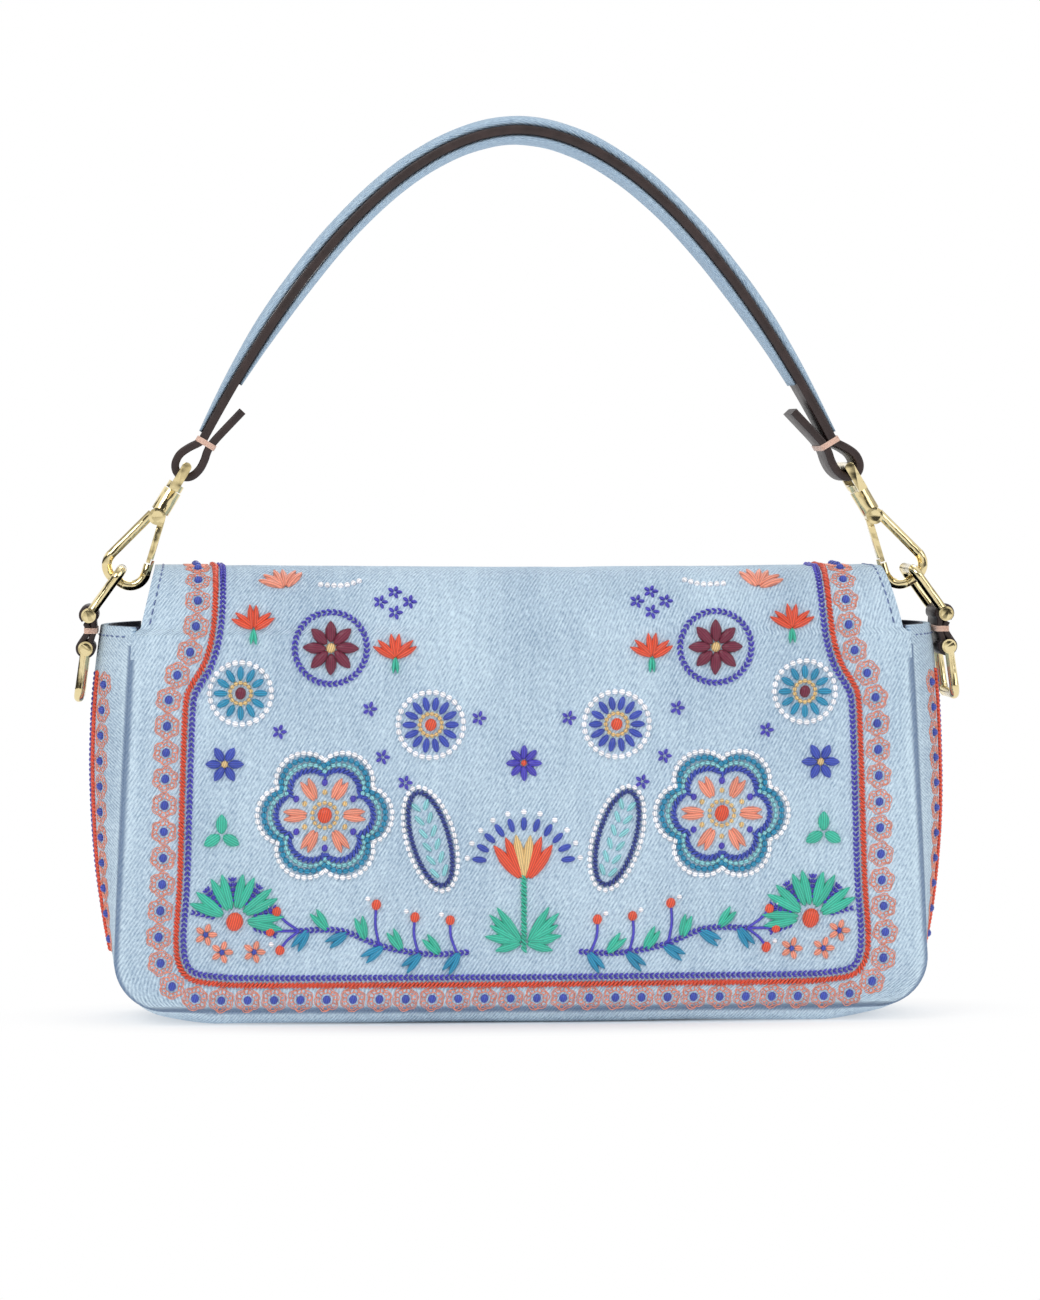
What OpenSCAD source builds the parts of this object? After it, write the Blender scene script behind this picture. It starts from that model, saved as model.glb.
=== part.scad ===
// Flap handbag with rounded sides, a short padded strap, two swivel
// hooks with sprung gates, and a pair of metal links on each side.
// +X is the width, +Y points to the flap's front, +Z is up.
// The origin is the middle of the resting base.

/* [Bag shell] */
// Height of the closed bag
bag_h = 142.8; // [134:0.1:156]
// Depth from the back panel to the outside of the flap
bag_d = 60; // [54:1:74]
// Width of the back panel just above its lower corners
base_w = 254.8; // [240:0.1:270]
// How far each side of the back panel leans in from its corner to the hem
side_taper = 5.9; // [2:0.1:9]
// Radius of the panels' lower corners
corner_r = 14; // [10:0.5:18]
// Thickness of a stiffened denim panel
panel_t = 2.2; // [1.8:0.1:2.8]
// Thickness of the side and base walls
wall_t = 2; // [1.6:0.1:2.6]
// How far the sides swell past the seam
side_swell = 11.5; // [8:0.1:13]
// How far the lower corners swell past the seam
corner_swell = 0.8; // [0.4:0.1:2]
// How far the base hangs below the seam
base_drop = 6.5; // [5:0.1:8]
// Share of the depth that each edge of the base takes to curve down
base_edge = 0.15; // [0.1:0.01:0.3]
// How far the side hems stand above the start of the rolls
hem_rise = 1.8; // [1:0.1:2.4]

/* [Lining and base board] */
// Thickness of the lining
lining_t = 0.8; // [0.5:0.1:1.2]
// Thickness of the board in the base
board_t = 1.6; // [1:0.1:2.4]
// Inset of the board from the flat of the base
board_inset = 0.6; // [0.4:0.1:2]
// Radius of the board's corners
board_r = 5; // [3:0.5:8]

/* [Flap] */
// Distance from the seams to the sides of the flap and roof
flap_inset = 7; // [5:0.5:20]
// Distance from the seams to the back panel's sides where its roll starts
neck_inset = 2.5; // [2.3:0.1:4]
// Radius of the roll at the top edges
roll_r = 20; // [14:0.5:24]
// Angle past the top of the front roll at which the flap folds up
fold_angle = 12; // [10:1:20]
// Height of the flap's lower edge above the base
flap_end_z = 16; // [10:1:50]
// Radius of the flap's lower corners
flap_corner_r = 20; // [8:1:30]
// Margin of the flap's turned edge past its lining
turned_edge = 2; // [1.5:0.5:5]

/* [Magnets] */
// Radius of a magnet disc
magnet_r = 7; // [5:0.5:9]
// Thickness of a magnet disc
magnet_t = 1.2; // [0.8:0.1:1.4]
// Height of the magnets above the base
magnet_z = 40; // [38:1:60]

/* [Zip pocket] */
// Width of the inner pocket
pocket_w = 152; // [120:1:180]
// Height of the inner pocket
pocket_h = 76; // [60:1:84]
// Depth of the inner pocket
pocket_d = 3.2; // [3:0.1:4.5]
// Thickness of the pocket's cloth
pocket_t = 0.8; // [0.5:0.1:1]
// Height of the zip above the base
zip_z = 100; // [94:1:106]
// Width of the zip's tape
tape_w = 12; // [9:0.5:14]
// Length of the row of teeth
teeth_l = 132; // [100:1:140]
// Spacing of the teeth
tooth_pitch = 2.4; // [2:0.1:4]
// Width of one tooth across the zip
tooth_w = 2.4; // [1.6:0.1:3]
// Height of the teeth off the tape
tooth_h = 1; // [0.8:0.1:1.4]
// Length of the slider
slider_l = 8; // [6:0.5:10]
// Length of the zip's pull
pull_l = 16; // [10:0.5:22]

/* [Side tabs and links] */
// Width of the strap and of the side tabs
strap_w = 20; // [16:0.5:26]
// Thickness of the tab around a pin
tab_t = 1.85; // [1.4:0.05:2.4]
// Distance from the hem down to the waist of the tab
tab_drop = 1.9; // [1:0.1:4]
// Rise of the upper pin above the waist
upper_pin_rise = 4.9; // [4.4:0.1:6]
// Fall of the lower pin below the waist
lower_pin_fall = 5.5; // [4.6:0.1:7]
// Radius of a link's pin
pin_r = 1.2; // [1:0.05:1.5]
// Radius of a link's wire
link_r = 1.5; // [1.2:0.05:1.8]
// Length of the upper link, pin to bow
upper_link_l = 17.2; // [15:0.1:22]
// Lean of the upper link towards the bag
upper_link_lean = 36; // [26:1:40]
// Length of the lower link, pin to bow
lower_link_l = 15.4; // [13:0.1:20]
// Lean of the lower link away from the bag
lower_link_lean = 8; // [6:0.5:14]

/* [Hooks] */
// Lean of the hook's axis towards the bag
hook_lean = 31; // [26:0.5:33]
// Length of the hook from the gate's pin to the middle of its lower wire
hook_l = 23.8; // [22:0.1:26]
// Radius of the hook's wire
hook_r = 1.5; // [1.2:0.05:1.7]
// Radius of the hook's lower corners
hook_bend_r = 5; // [4.4:0.1:5.6]
// Half the flat stretch between the lower corners
hook_flat = 1.4; // [1:0.1:2]
// Radius of the hook's head round the gate's pin
head_r = 2.7; // [2.5:0.05:3.1]
// Half the width of the head
head_hw = 3; // [2.8:0.05:3.4]
// Radius of the swivel barrel
barrel_r = 2.9; // [2.7:0.05:3.4]
// Height of the barrel's top above the gate's pin
barrel_top = 9.5; // [9:0.1:11]
// Radius of the swivel's stem
stem_r = 1.1; // [0.9:0.05:1.3]
// Radius of the gate's pin
gate_pin_r = 0.8; // [0.6:0.05:0.9]
// Height of the eye from its base to the middle of its bar
eye_h = 8.3; // [7.4:0.1:11]
// Thickness of the eye's arms
eye_t = 2.5; // [2:0.1:3]

/* [Strap] */
// Rise of the strap's arch above its stitched ends
strap_rise = 97.4; // [80:0.1:130]
// How full the arch is, 2 is a parabola
strap_power = 1.9; // [1.8:0.05:2.2]
// Thickness of the leather core
core_t = 3.4; // [2.6:0.1:4]
// Thickness of the padded cover on each side of the core
pad_t = 3.5; // [2.4:0.1:4.5]
// Thickness of a cover where its padding ends
cover_end_t = 0.9; // [0.6:0.1:1.2]
// Length over which the padding tapers
pad_taper = 26; // [16:1:40]
// Thickness of the strip folded round the eye's bar
fold_t = 2.6; // [2:0.1:3]
// Distance from the eye's bar to the stitching
fold_l = 8.6; // [8:0.1:12]
// Length of the tail past the stitching
tail_l = 15; // [12:0.5:17]
// Angle between the tail and the strap
tail_splay = 12; // [9:1:16]

/* [Fits] */
// Gap between soft pieces that move past each other
soft_gap = 0.5; // [0.4:0.05:0.8]
// Gap at the faces of small metal pieces
metal_gap = 0.3; // [0.2:0.05:0.4]
// Clearance of a pin or stem in its hole
pin_fit = 0.05; // [0.03:0.01:0.08]
// Gap where one sewn piece lies against another
seat_gap = 0.1; // [0.05:0.05:0.3]
// Slack between a hook's lower wire and a link's bow
bow_slack = 0.5; // [0.4:0.05:0.8]

/* [Hidden] */
$fn = 48;
eps = 0.01;

denim = "lightsteelblue";
lining_blue = "midnightblue";
gold = "palegoldenrod";
leather_brown = "saddlebrown";
thread_beige = "bisque";
zip_blue = "navy";

// Widths of the panels at the hems, the neck and the flap
top_w = base_w - 2 * side_taper;
neck_w = top_w - 2 * neck_inset;
flap_w = top_w - 2 * flap_inset;

// Places of the shell's faces
back_y = -bag_d / 2;
back_in = back_y + panel_t;
flap_out = bag_d / 2;
flap_in = flap_out - panel_t;
front_out = flap_in - lining_t - soft_gap;
front_in = front_out - panel_t;
roll_z = bag_h - roll_r;
hem_z = roll_z + hem_rise;
front_top = roll_z - 2 * soft_gap;
front_roll_y = bag_d / 2 - roll_r;
fold_r = roll_r - panel_t / 2;
fold_y = front_roll_y + fold_r * sin(fold_angle);
fold_z = roll_z + fold_r * cos(fold_angle);
// The roof's round end lies a gap away from the flap's round end
roof_angle = fold_angle - (panel_t + soft_gap) / fold_r * 180 / PI;
corner_x = base_w / 2 - corner_r;
corner_z = base_drop + corner_r;
straight_x = corner_x - corner_r;
cut_slack = 1;

// Sections of the walls
side_steps = 10;
corner_steps = 6;
turn_steps = 4;
across = 12;

// The seam's half width and the swell of the side at one height
function up_share(z) = max(0, min(1, (z - corner_z) / (hem_z - corner_z)));
function seam_x(z) = base_w / 2 + (top_w - base_w) / 2 * up_share(z);
function swell(z) =
    corner_swell + (side_swell - corner_swell) * sin(120 * pow(up_share(z), 0.85));
function face_x(z) = seam_x(z) + swell(z);

// The swell and the edge share along the way from the corner to the straight base
turn_l = corner_r * PI / 4 + corner_r;
function base_swell(p) = corner_swell + (base_drop - corner_swell) * sin(90 * p);
function base_share(p) = 0.5 + (base_edge - 0.5) * p;

// One station is [seam point, outward direction, swell, edge share, padding share]
side_stations = [
    for (i = [0:side_steps])
        let (z = hem_z + (corner_z - hem_z) * i / side_steps)
        [[seam_x(z), z], [1, 0], swell(z), 0.5, 0]
];
corner_stations = [
    for (i = [1:corner_steps])
        let (
            a = 90 * i / corner_steps,
            p = max(0, (a - 45) / 180 * PI * corner_r) / turn_l
        )
        [[corner_x + corner_r * cos(a), corner_z - corner_r * sin(a)],
         [cos(a), -sin(a)], base_swell(p), base_share(p), p]
];
turn_stations = [
    for (i = [1:turn_steps])
        let (
            x = corner_x - corner_r * i / turn_steps,
            p = (corner_r * PI / 4 + corner_r * i / turn_steps) / turn_l
        )
        [[x, base_drop], [0, -1], base_swell(p), base_share(p), p]
];
wall_stations = concat(side_stations, corner_stations, turn_stations);

// The wall's height over the seam across the depth, from 0 at the edges to 1
function rounded(t, e) = t < e ? sin(90 * t / e) : t > 1 - e ? sin(90 * (1 - t) / e) : 1;
function depth_share(y) = (y - back_in) / (front_in - back_in);

// Points of a wall's section, closer together towards the seams
function wall_line(s, y0, y1, low) = [
    for (j = [0:across])
        let (y = y0 + (y1 - y0) * (1 - cos(180 * j / across)) / 2)
        [y, s[2] * rounded(depth_share(y), s[3]) - low]
];
function reversed(list) = [for (i = [len(list) - 1:-1:0]) list[i]];
function wall_section(s, y0, y1, depth, t) =
    concat(wall_line(s, y0, y1, depth), reversed(wall_line(s, y0, y1, depth + t)));
function placed(s, section) = [
    for (q = section)
        [s[0][0] + s[1][0] * q[1], q[0], s[0][1] + s[1][1] * q[1]]
];

// A solid through rings of as many points, in order
module loft(rings) {
    n = len(rings[0]);
    m = len(rings);
    polyhedron(
        points = [for (r = rings) for (p = r) p],
        faces = concat(
            [[for (j = [n - 1:-1:0]) j]],
            [for (i = [0:m - 2]) for (j = [0:n - 1])
                [i * n + j, (i + 1) * n + (j + 1) % n, (i + 1) * n + j]],
            [for (i = [0:m - 2]) for (j = [0:n - 1])
                [i * n + j, i * n + (j + 1) % n, (i + 1) * n + (j + 1) % n]],
            [[for (j = [0:n - 1]) (m - 1) * n + j]]
        ),
        convexity = 6
    );
}

// Outline of a panel up to a height, inside the seam by an inset
function half_outline(top, inset) = concat(
    [for (i = [corner_steps:-1:0])
        let (a = 90 * i / corner_steps, r = corner_r - inset)
        [corner_x + r * cos(a), corner_z - r * sin(a)]],
    [[seam_x(top) - inset, top]]
);
function mirrored(list) = [for (p = reversed(list)) [-p[0], p[1]]];

module panel(y0, y1, top, inset = 0) {
    outline = half_outline(top, inset);
    translate([0, y1, 0])
        rotate([90, 0, 0])
            linear_extrude(y1 - y0)
                polygon(concat(outline, mirrored(outline)));
}

// A cylinder along Y or X between two places
module y_rod(r, y0, y1) {
    translate([0, y1, 0])
        rotate([90, 0, 0])
            cylinder(r = r, h = y1 - y0);
}

module x_rod(r, x0, x1) {
    translate([x0, 0, 0])
        rotate([0, 90, 0])
            cylinder(r = r, h = x1 - x0);
}

module slab(low, high) {
    translate(low)
        cube(high - low);
}

// Shell

// Section of the rolls, roof and flap in Y and Z, at an inset from the outside
module tunnel(inset) {
    r = roll_r - inset;
    top = bag_h - inset;
    half = bag_d / 2 - inset;
    for (y = [r - half, half - r])
        translate([y, top - r])
            circle(r, $fn = 96);
    translate([r - half, top - 2 * r])
        square([2 * (half - r), 2 * r]);
    translate([-half, flap_end_z - cut_slack])
        square([2 * half, top - r - flap_end_z + cut_slack]);
}

// Everything on the roof's side of a line that turns with the front roll
module roof_side(angle) {
    translate([front_roll_y, roll_z])
        rotate(90 - angle)
            translate([-2 * bag_d, 0])
                square([4 * bag_d, 3 * bag_d]);
}

module along_x(w) {
    translate([-w / 2, 0, 0])
        rotate([90, 0, 90])
            linear_extrude(w)
                children();
}

// Taper of the neck, seen from the back
module neck_outline() {
    translate([0, bag_d, 0])
        rotate([90, 0, 0])
            linear_extrude(2 * bag_d)
                polygon([
                    [-neck_w / 2, roll_z - 2 * cut_slack], [-neck_w / 2, roll_z],
                    [-flap_w / 2, bag_h], [-flap_w / 2, bag_h + cut_slack],
                    [flap_w / 2, bag_h + cut_slack], [flap_w / 2, bag_h],
                    [neck_w / 2, roll_z], [neck_w / 2, roll_z - 2 * cut_slack]
                ]);
}

// Section of the back roll and roof, with a half round end
module roof_section() {
    difference() {
        intersection() {
            tunnel(0);
            roof_side(roof_angle);
            translate([back_y, roll_z - cut_slack])
                square([bag_d, bag_d]);
        }
        tunnel(panel_t);
    }
    translate([front_roll_y, roll_z])
        rotate(-roof_angle)
            translate([0, fold_r])
                circle(panel_t / 2);
}

// The back panel rolls over the top and ends in front of the strap, at the flap's fold
module back_panel() {
    color(denim) {
        panel(back_y, back_in, roll_z);
        intersection() {
            along_x(neck_w + 2 * cut_slack)
                roof_section();
            neck_outline();
        }
    }
}

module magnet_hole(y0, y1) {
    translate([0, 0, magnet_z])
        y_rod(magnet_r + seat_gap, y0, y1);
}

module front_panel() {
    color(denim)
        difference() {
            panel(front_in, front_out, front_top);
            magnet_hole(front_in - eps, front_in + magnet_t + seat_gap);
        }
}

module gusset() {
    color(denim)
        loft([for (s = wall_stations) placed(s, wall_section(s, back_in, front_in, 0, wall_t))]);
}

module right_gusset() {
    gusset();
}

module left_gusset() {
    mirror([1, 0, 0])
        gusset();
}

base_station = [[0, base_drop], [0, -1], base_drop, base_edge, 1];

module base_gusset() {
    color(denim)
        translate([-straight_x, 0, 0])
            rotate([90, 0, 90])
                linear_extrude(2 * straight_x)
                    polygon([
                        for (q = wall_section(base_station, back_in, front_in, 0, wall_t))
                            [q[0], base_drop - q[1]]
                    ]);
}

board_low = back_in + (front_in - back_in) * base_edge + board_inset;
board_high = front_in - (front_in - back_in) * base_edge - board_inset;

module base_board() {
    color("tan")
        translate([0, 0, wall_t + seat_gap])
            linear_extrude(board_t)
                for (side = [-1, 1]) {
                    translate([side > 0 ? 0 : -straight_x, board_low + board_r])
                        square([straight_x, board_high - board_low - 2 * board_r]);
                    translate([side > 0 ? 0 : board_r - straight_x, board_low])
                        square([straight_x - board_r, board_high - board_low]);
                    for (y = [board_low + board_r, board_high - board_r])
                        translate([side * (straight_x - board_r), y])
                            circle(board_r);
                }
}

// Lining

lining_back = back_in + lining_t;
lining_front = front_in - lining_t;

module back_lining() {
    color(lining_blue)
        panel(back_in, lining_back, roll_z, wall_t + seat_gap);
}

module front_lining() {
    color(lining_blue)
        panel(lining_front, front_in, front_top, wall_t + seat_gap);
}

// The strip of lining lies on the walls, and over the board in the base
function strip_depth(s) = wall_t + soft_gap + s[4] * (board_t + seat_gap);
function strip_rings(sign) = [
    for (s = wall_stations)
        [for (p = placed(s, wall_section(s, lining_back, lining_front, strip_depth(s), lining_t)))
            [sign * p[0], p[1], p[2]]]
];

module side_lining() {
    color(lining_blue)
        loft(concat(strip_rings(1), reversed(strip_rings(-1))));
}

module roof_lining() {
    color(lining_blue)
        along_x(flap_w - 2 * turned_edge)
            difference() {
                intersection() {
                    tunnel(panel_t);
                    roof_side(roof_angle);
                    translate([back_in, roll_z])
                        square([bag_d, bag_d]);
                }
                tunnel(panel_t + lining_t);
            }
}

module body_magnet() {
    color("gray")
        translate([0, 0, magnet_z])
            y_rod(magnet_r, front_in, front_in + magnet_t);
}

// Zip pocket on the back lining

pocket_y = lining_back + pocket_d;
pocket_top = zip_z + tape_w / 2 + pocket_t;
tape_t = pocket_t;
slit_h = tape_w - 4 * pocket_t;
tape_end = 3;
tape_l = teeth_l + 2 * tape_end;

module zip_pocket() {
    color(lining_blue)
        difference() {
            slab([-pocket_w / 2, lining_back, pocket_top - pocket_h], [pocket_w / 2, pocket_y, pocket_top]);
            slab(
                [pocket_t - pocket_w / 2, lining_back - eps, pocket_top - pocket_h + pocket_t],
                [pocket_w / 2 - pocket_t, pocket_y - pocket_t, pocket_top - pocket_t]
            );
            slab(
                [-tape_l / 2, lining_back, zip_z - slit_h / 2],
                [tape_l / 2, pocket_y + eps, zip_z + slit_h / 2]
            );
        }
}

module zip_tape() {
    color(zip_blue)
        slab(
            [-tape_l / 2, pocket_y - tape_t, zip_z - slit_h / 2],
            [tape_l / 2, pocket_y, zip_z + slit_h / 2]
        );
}

tooth_count = floor(teeth_l / tooth_pitch);
tooth_l = tooth_pitch * 0.6;
tooth_shift = tooth_w / 6;
chain_w = tooth_w + 2 * tooth_shift;

module zip_teeth() {
    color(gold) {
        slab(
            [-teeth_l / 2, pocket_y, zip_z - tooth_w / 4],
            [teeth_l / 2, pocket_y + tooth_h / 2, zip_z + tooth_w / 4]
        );
        for (i = [0:tooth_count - 1])
            translate([
                (i + 0.5) * tooth_pitch - teeth_l / 2,
                pocket_y,
                zip_z + (i % 2 == 0 ? tooth_shift : -tooth_shift)
            ])
                slab([-tooth_l / 2, 0, -tooth_w / 2], [tooth_l / 2, tooth_h, tooth_w / 2]);
    }
}

slider_gap = 0.2;
slider_plate = 0.9;
slider_stop = 1;
slider_x = teeth_l / 2 - slider_l / 2 - slider_stop;
slider_in = pocket_y + tooth_h + slider_gap;
slider_out = slider_in + slider_plate;
slider_hw = chain_w / 2 + slider_gap + slider_plate;
pull_t = 0.9;
pull_w = 3.6;
lug_r = 1.1;
pull_pin_r = 0.45;
pull_y = slider_out + lug_r;

// The slider holds the chain in a channel and carries the pull's pin in two lugs
module zip_slider() {
    color(gold)
        translate([slider_x, 0, zip_z]) {
            difference() {
                slab(
                    [-slider_l / 2, pocket_y + slider_gap, -slider_hw],
                    [slider_l / 2, slider_out, slider_hw]
                );
                slab(
                    [-slider_l, pocket_y, slider_plate - slider_hw],
                    [slider_l, slider_in, slider_hw - slider_plate]
                );
            }
            for (side = [-1, 1])
                translate([0, 0, side * (pull_w / 2 + slider_gap + slider_plate / 2)]) {
                    translate([0, pull_y, 0])
                        cylinder(r = lug_r, h = slider_plate, center = true);
                    slab(
                        [-lug_r, slider_out - slider_plate / 2, -slider_plate / 2],
                        [lug_r, pull_y, slider_plate / 2]
                    );
                }
            translate([0, pull_y, 0])
                cylinder(r = pull_pin_r, h = pull_w + 2 * slider_gap + slider_plate, center = true);
        }
}

module zip_pull() {
    color(gold)
        translate([slider_x, pull_y, zip_z])
            difference() {
                union() {
                    cylinder(r = lug_r - slider_gap, h = pull_w, center = true);
                    slab([-pull_l, -pull_t / 2, -pull_w / 2], [0, pull_t / 2, pull_w / 2]);
                }
                cylinder(r = pull_pin_r + pin_fit, h = 2 * pull_w, center = true);
                translate([2 * pull_w - pull_l, 0, 0])
                    y_rod(pull_w / 4, -pull_t, pull_t);
            }
}

// Flap

// The flap's front, seen from the front, with its lower corners rounded
module flap_outline(inset) {
    half = flap_w / 2 - inset;
    low = flap_end_z + inset;
    r = flap_corner_r;
    translate([0, bag_d, 0])
        rotate([90, 0, 0])
            linear_extrude(1.5 * bag_d) {
                translate([-half, low + r])
                    square([2 * half, bag_h]);
                translate([r - half, low])
                    square([2 * (half - r), r + cut_slack]);
                for (x = [r - half, half - r])
                    translate([x, low + r])
                        circle(r);
            }
}

// The part of the section past the fold, between two insets
module flap_section(outer, inner) {
    difference() {
        tunnel(outer);
        tunnel(inner);
        roof_side(fold_angle);
        translate([-bag_d, 0])
            square([bag_d, bag_h]);
    }
}

module flap() {
    color(denim)
        difference() {
            union() {
                intersection() {
                    along_x(flap_w)
                        flap_section(0, panel_t);
                    flap_outline(0);
                }
                translate([0, fold_y, fold_z])
                    x_rod(panel_t / 2, -flap_w / 2, flap_w / 2);
            }
            magnet_hole(flap_in - eps, flap_in + magnet_t + seat_gap);
        }
}

module flap_lining() {
    color(lining_blue)
        intersection() {
            along_x(flap_w)
                flap_section(panel_t, panel_t + lining_t);
            flap_outline(turned_edge);
        }
}

module flap_magnet() {
    color("gray")
        translate([0, 0, magnet_z])
            y_rod(magnet_r, flap_in, flap_in + magnet_t);
}

// Side tabs, with a loop round each link's pin

loop_r = pin_r + pin_fit + tab_t;
waist_z = hem_z - tab_drop;
upper_pin_z = waist_z + upper_pin_rise;
lower_pin_z = waist_z - lower_pin_fall;
tab_x = face_x(lower_pin_z) + soft_gap / 2;
upper_pin_x = face_x(hem_z) + soft_gap + loop_r;
lower_pin_x = face_x(lower_pin_z) + soft_gap + loop_r;
tab_hw = strap_w / 2;
// Both layers are pressed together at the waist, and their flat ends inside the loops
waist_press = 0.3;
waist_t = 2 * tab_t - waist_press;
waist_h = 1.8;
flat_end = 0.4;
thread_t = 0.4;

module tab() {
    color(leather_brown)
        difference() {
            union() {
                translate([upper_pin_x, 0, upper_pin_z])
                    y_rod(loop_r, -tab_hw, tab_hw);
                translate([lower_pin_x, 0, lower_pin_z])
                    y_rod(loop_r, -tab_hw, tab_hw);
                slab(
                    [tab_x, -tab_hw, lower_pin_z + flat_end],
                    [tab_x + waist_t, tab_hw, upper_pin_z - flat_end]
                );
            }
            translate([upper_pin_x, 0, upper_pin_z])
                y_rod(pin_r + pin_fit, -strap_w, strap_w);
            translate([lower_pin_x, 0, lower_pin_z])
                y_rod(pin_r + pin_fit, -strap_w, strap_w);
        }
}

module right_tab() {
    tab();
}

module left_tab() {
    mirror([1, 0, 0])
        tab();
}

module both_sides() {
    children();
    mirror([1, 0, 0])
        children();
}

module tab_threads() {
    color(thread_beige)
        both_sides()
            difference() {
                slab(
                    [tab_x - thread_t, -tab_hw - thread_t, waist_z - waist_h / 2],
                    [tab_x + waist_t + thread_t, tab_hw + thread_t, waist_z + waist_h / 2]
                );
                slab(
                    [tab_x, -tab_hw, waist_z - waist_h],
                    [tab_x + waist_t, tab_hw, waist_z + waist_h]
                );
            }
}

// Links: a bow with two arms and a pin through their bosses.
// The left ones are turned half round, since both ends of a link are alike.

link_bend_r = 3;
// Bends are a little thicker than the straight wire that runs into them
bend_grow = 0.06;
bend_lap = 0.4;
leather_gap = metal_gap + seat_gap;
arm_y = tab_hw + leather_gap + link_r;
boss_wall = pin_r * 0.92;
boss_r = pin_r + boss_wall;
pin_head_r = pin_r + boss_wall / 2;
pin_head_t = 0.5;

module link(l) {
    color(gold)
        difference() {
            union() {
                translate([0, 0, l])
                    y_rod(link_r, link_bend_r - arm_y - bend_lap, arm_y - link_bend_r + bend_lap);
                for (side = [0, 180])
                    rotate([0, 0, side]) {
                        translate([0, arm_y, 0])
                            cylinder(r = link_r, h = l - link_bend_r + bend_lap);
                        translate([0, arm_y - link_bend_r, l - link_bend_r])
                            rotate([0, -90, 0])
                                rotate_extrude(angle = 90)
                                    translate([link_bend_r, 0])
                                        circle(link_r + bend_grow);
                        y_rod(boss_r, arm_y - link_r, arm_y + link_r);
                    }
            }
            y_rod(pin_r, -strap_w, strap_w);
        }
}

module link_pin() {
    end = arm_y + link_r;
    color(gold) {
        y_rod(pin_r, -end, end);
        y_rod(pin_head_r, end, end + pin_head_t);
        y_rod(pin_head_r, -end - pin_head_t, -end);
    }
}

module at_upper_pin() {
    translate([upper_pin_x, 0, upper_pin_z])
        rotate([0, -upper_link_lean, 0])
            children();
}

module at_lower_pin() {
    translate([lower_pin_x, 0, lower_pin_z])
        rotate([0, 180 - lower_link_lean, 0])
            children();
}

module right_upper_link() {
    at_upper_pin()
        link(upper_link_l);
}

module right_upper_pin() {
    at_upper_pin()
        link_pin();
}

module right_lower_link() {
    at_lower_pin()
        link(lower_link_l);
}

module right_lower_pin() {
    at_lower_pin()
        link_pin();
}

module left_upper_link() {
    rotate([0, 0, 180])
        right_upper_link();
}

module left_upper_pin() {
    rotate([0, 0, 180])
        right_upper_pin();
}

module left_lower_link() {
    rotate([0, 0, 180])
        right_lower_link();
}

module left_lower_pin() {
    rotate([0, 0, 180])
        right_lower_pin();
}

// Hooks, drawn with the gate's pin at the origin, X outwards and Z up the axis

bow_x = upper_pin_x - upper_link_l * sin(upper_link_lean);
bow_z = upper_pin_z + upper_link_l * cos(upper_link_lean);
bow_side = 1;
bow_up = hook_r + link_r + bow_slack;
bow_from_pin = hook_l - bow_up;
hook_x = bow_x - bow_side * cos(hook_lean) - bow_from_pin * sin(hook_lean);
hook_z = bow_z - bow_side * sin(hook_lean) + bow_from_pin * cos(hook_lean);
arm_x = head_r * 2 / 3;

// The arm is tangent to the corner and meets the head's level at arm_x
bend_z = hook_bend_r - hook_l;
reach = norm([arm_x - hook_flat, bend_z]);
arm_slant = asin(hook_bend_r / reach) - atan2(arm_x - hook_flat, -bend_z);
arm_l = sqrt(reach * reach - hook_bend_r * hook_bend_r);
nose_l = 4.8;
// The gate's knuckle turns in a slot with a ring of the spring on each side
knuckle_r = 1.9;
knuckle_hw = 0.9;
spring_t = 0.4;
spring_w = 0.5;
slot_hw = knuckle_hw + spring_t + 0.35;
slot_top = 0.4;
sweep_x = 0.2;
gate_t = 1;
gate_hw = 1.4;
gate_end = arm_l - nose_l;
// The gate's tip lies behind a lip that is left of the nose's wire
tip_l = 1.1;
lip_t = 0.95;
step_l = tip_l + metal_gap + 0.2;
slot_low = knuckle_r + 0.6;
barrel_lap = 1;
rivet_t = gate_pin_r * 3 / 4;
rivet_r = gate_pin_r * 9 / 4;
rivet_slot = rivet_r * 0.28;
rivet_turn = 30;
stem_head_r = stem_r * 1.64;
stem_head_t = stem_r * 0.9;
cavity_low = 4.1;

module at_hook() {
    translate([hook_x, 0, hook_z])
        rotate([0, -hook_lean, 0])
            children();
}

// The line of the gate and nose, or of the arm on the other side
module along_side(side) {
    translate([side * arm_x, 0, 0])
        rotate([0, -side * arm_slant, 0])
            children();
}

module hook_bend(side) {
    translate([side * hook_flat, 0, bend_z])
        mirror([side > 0 ? 0 : 1, 0, 0])
            rotate([90, 0, 0])
                rotate([0, 0, -90])
                    rotate_extrude(angle = 90 + arm_slant)
                        translate([hook_bend_r, 0])
                            circle(hook_r + bend_grow);
}

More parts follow.
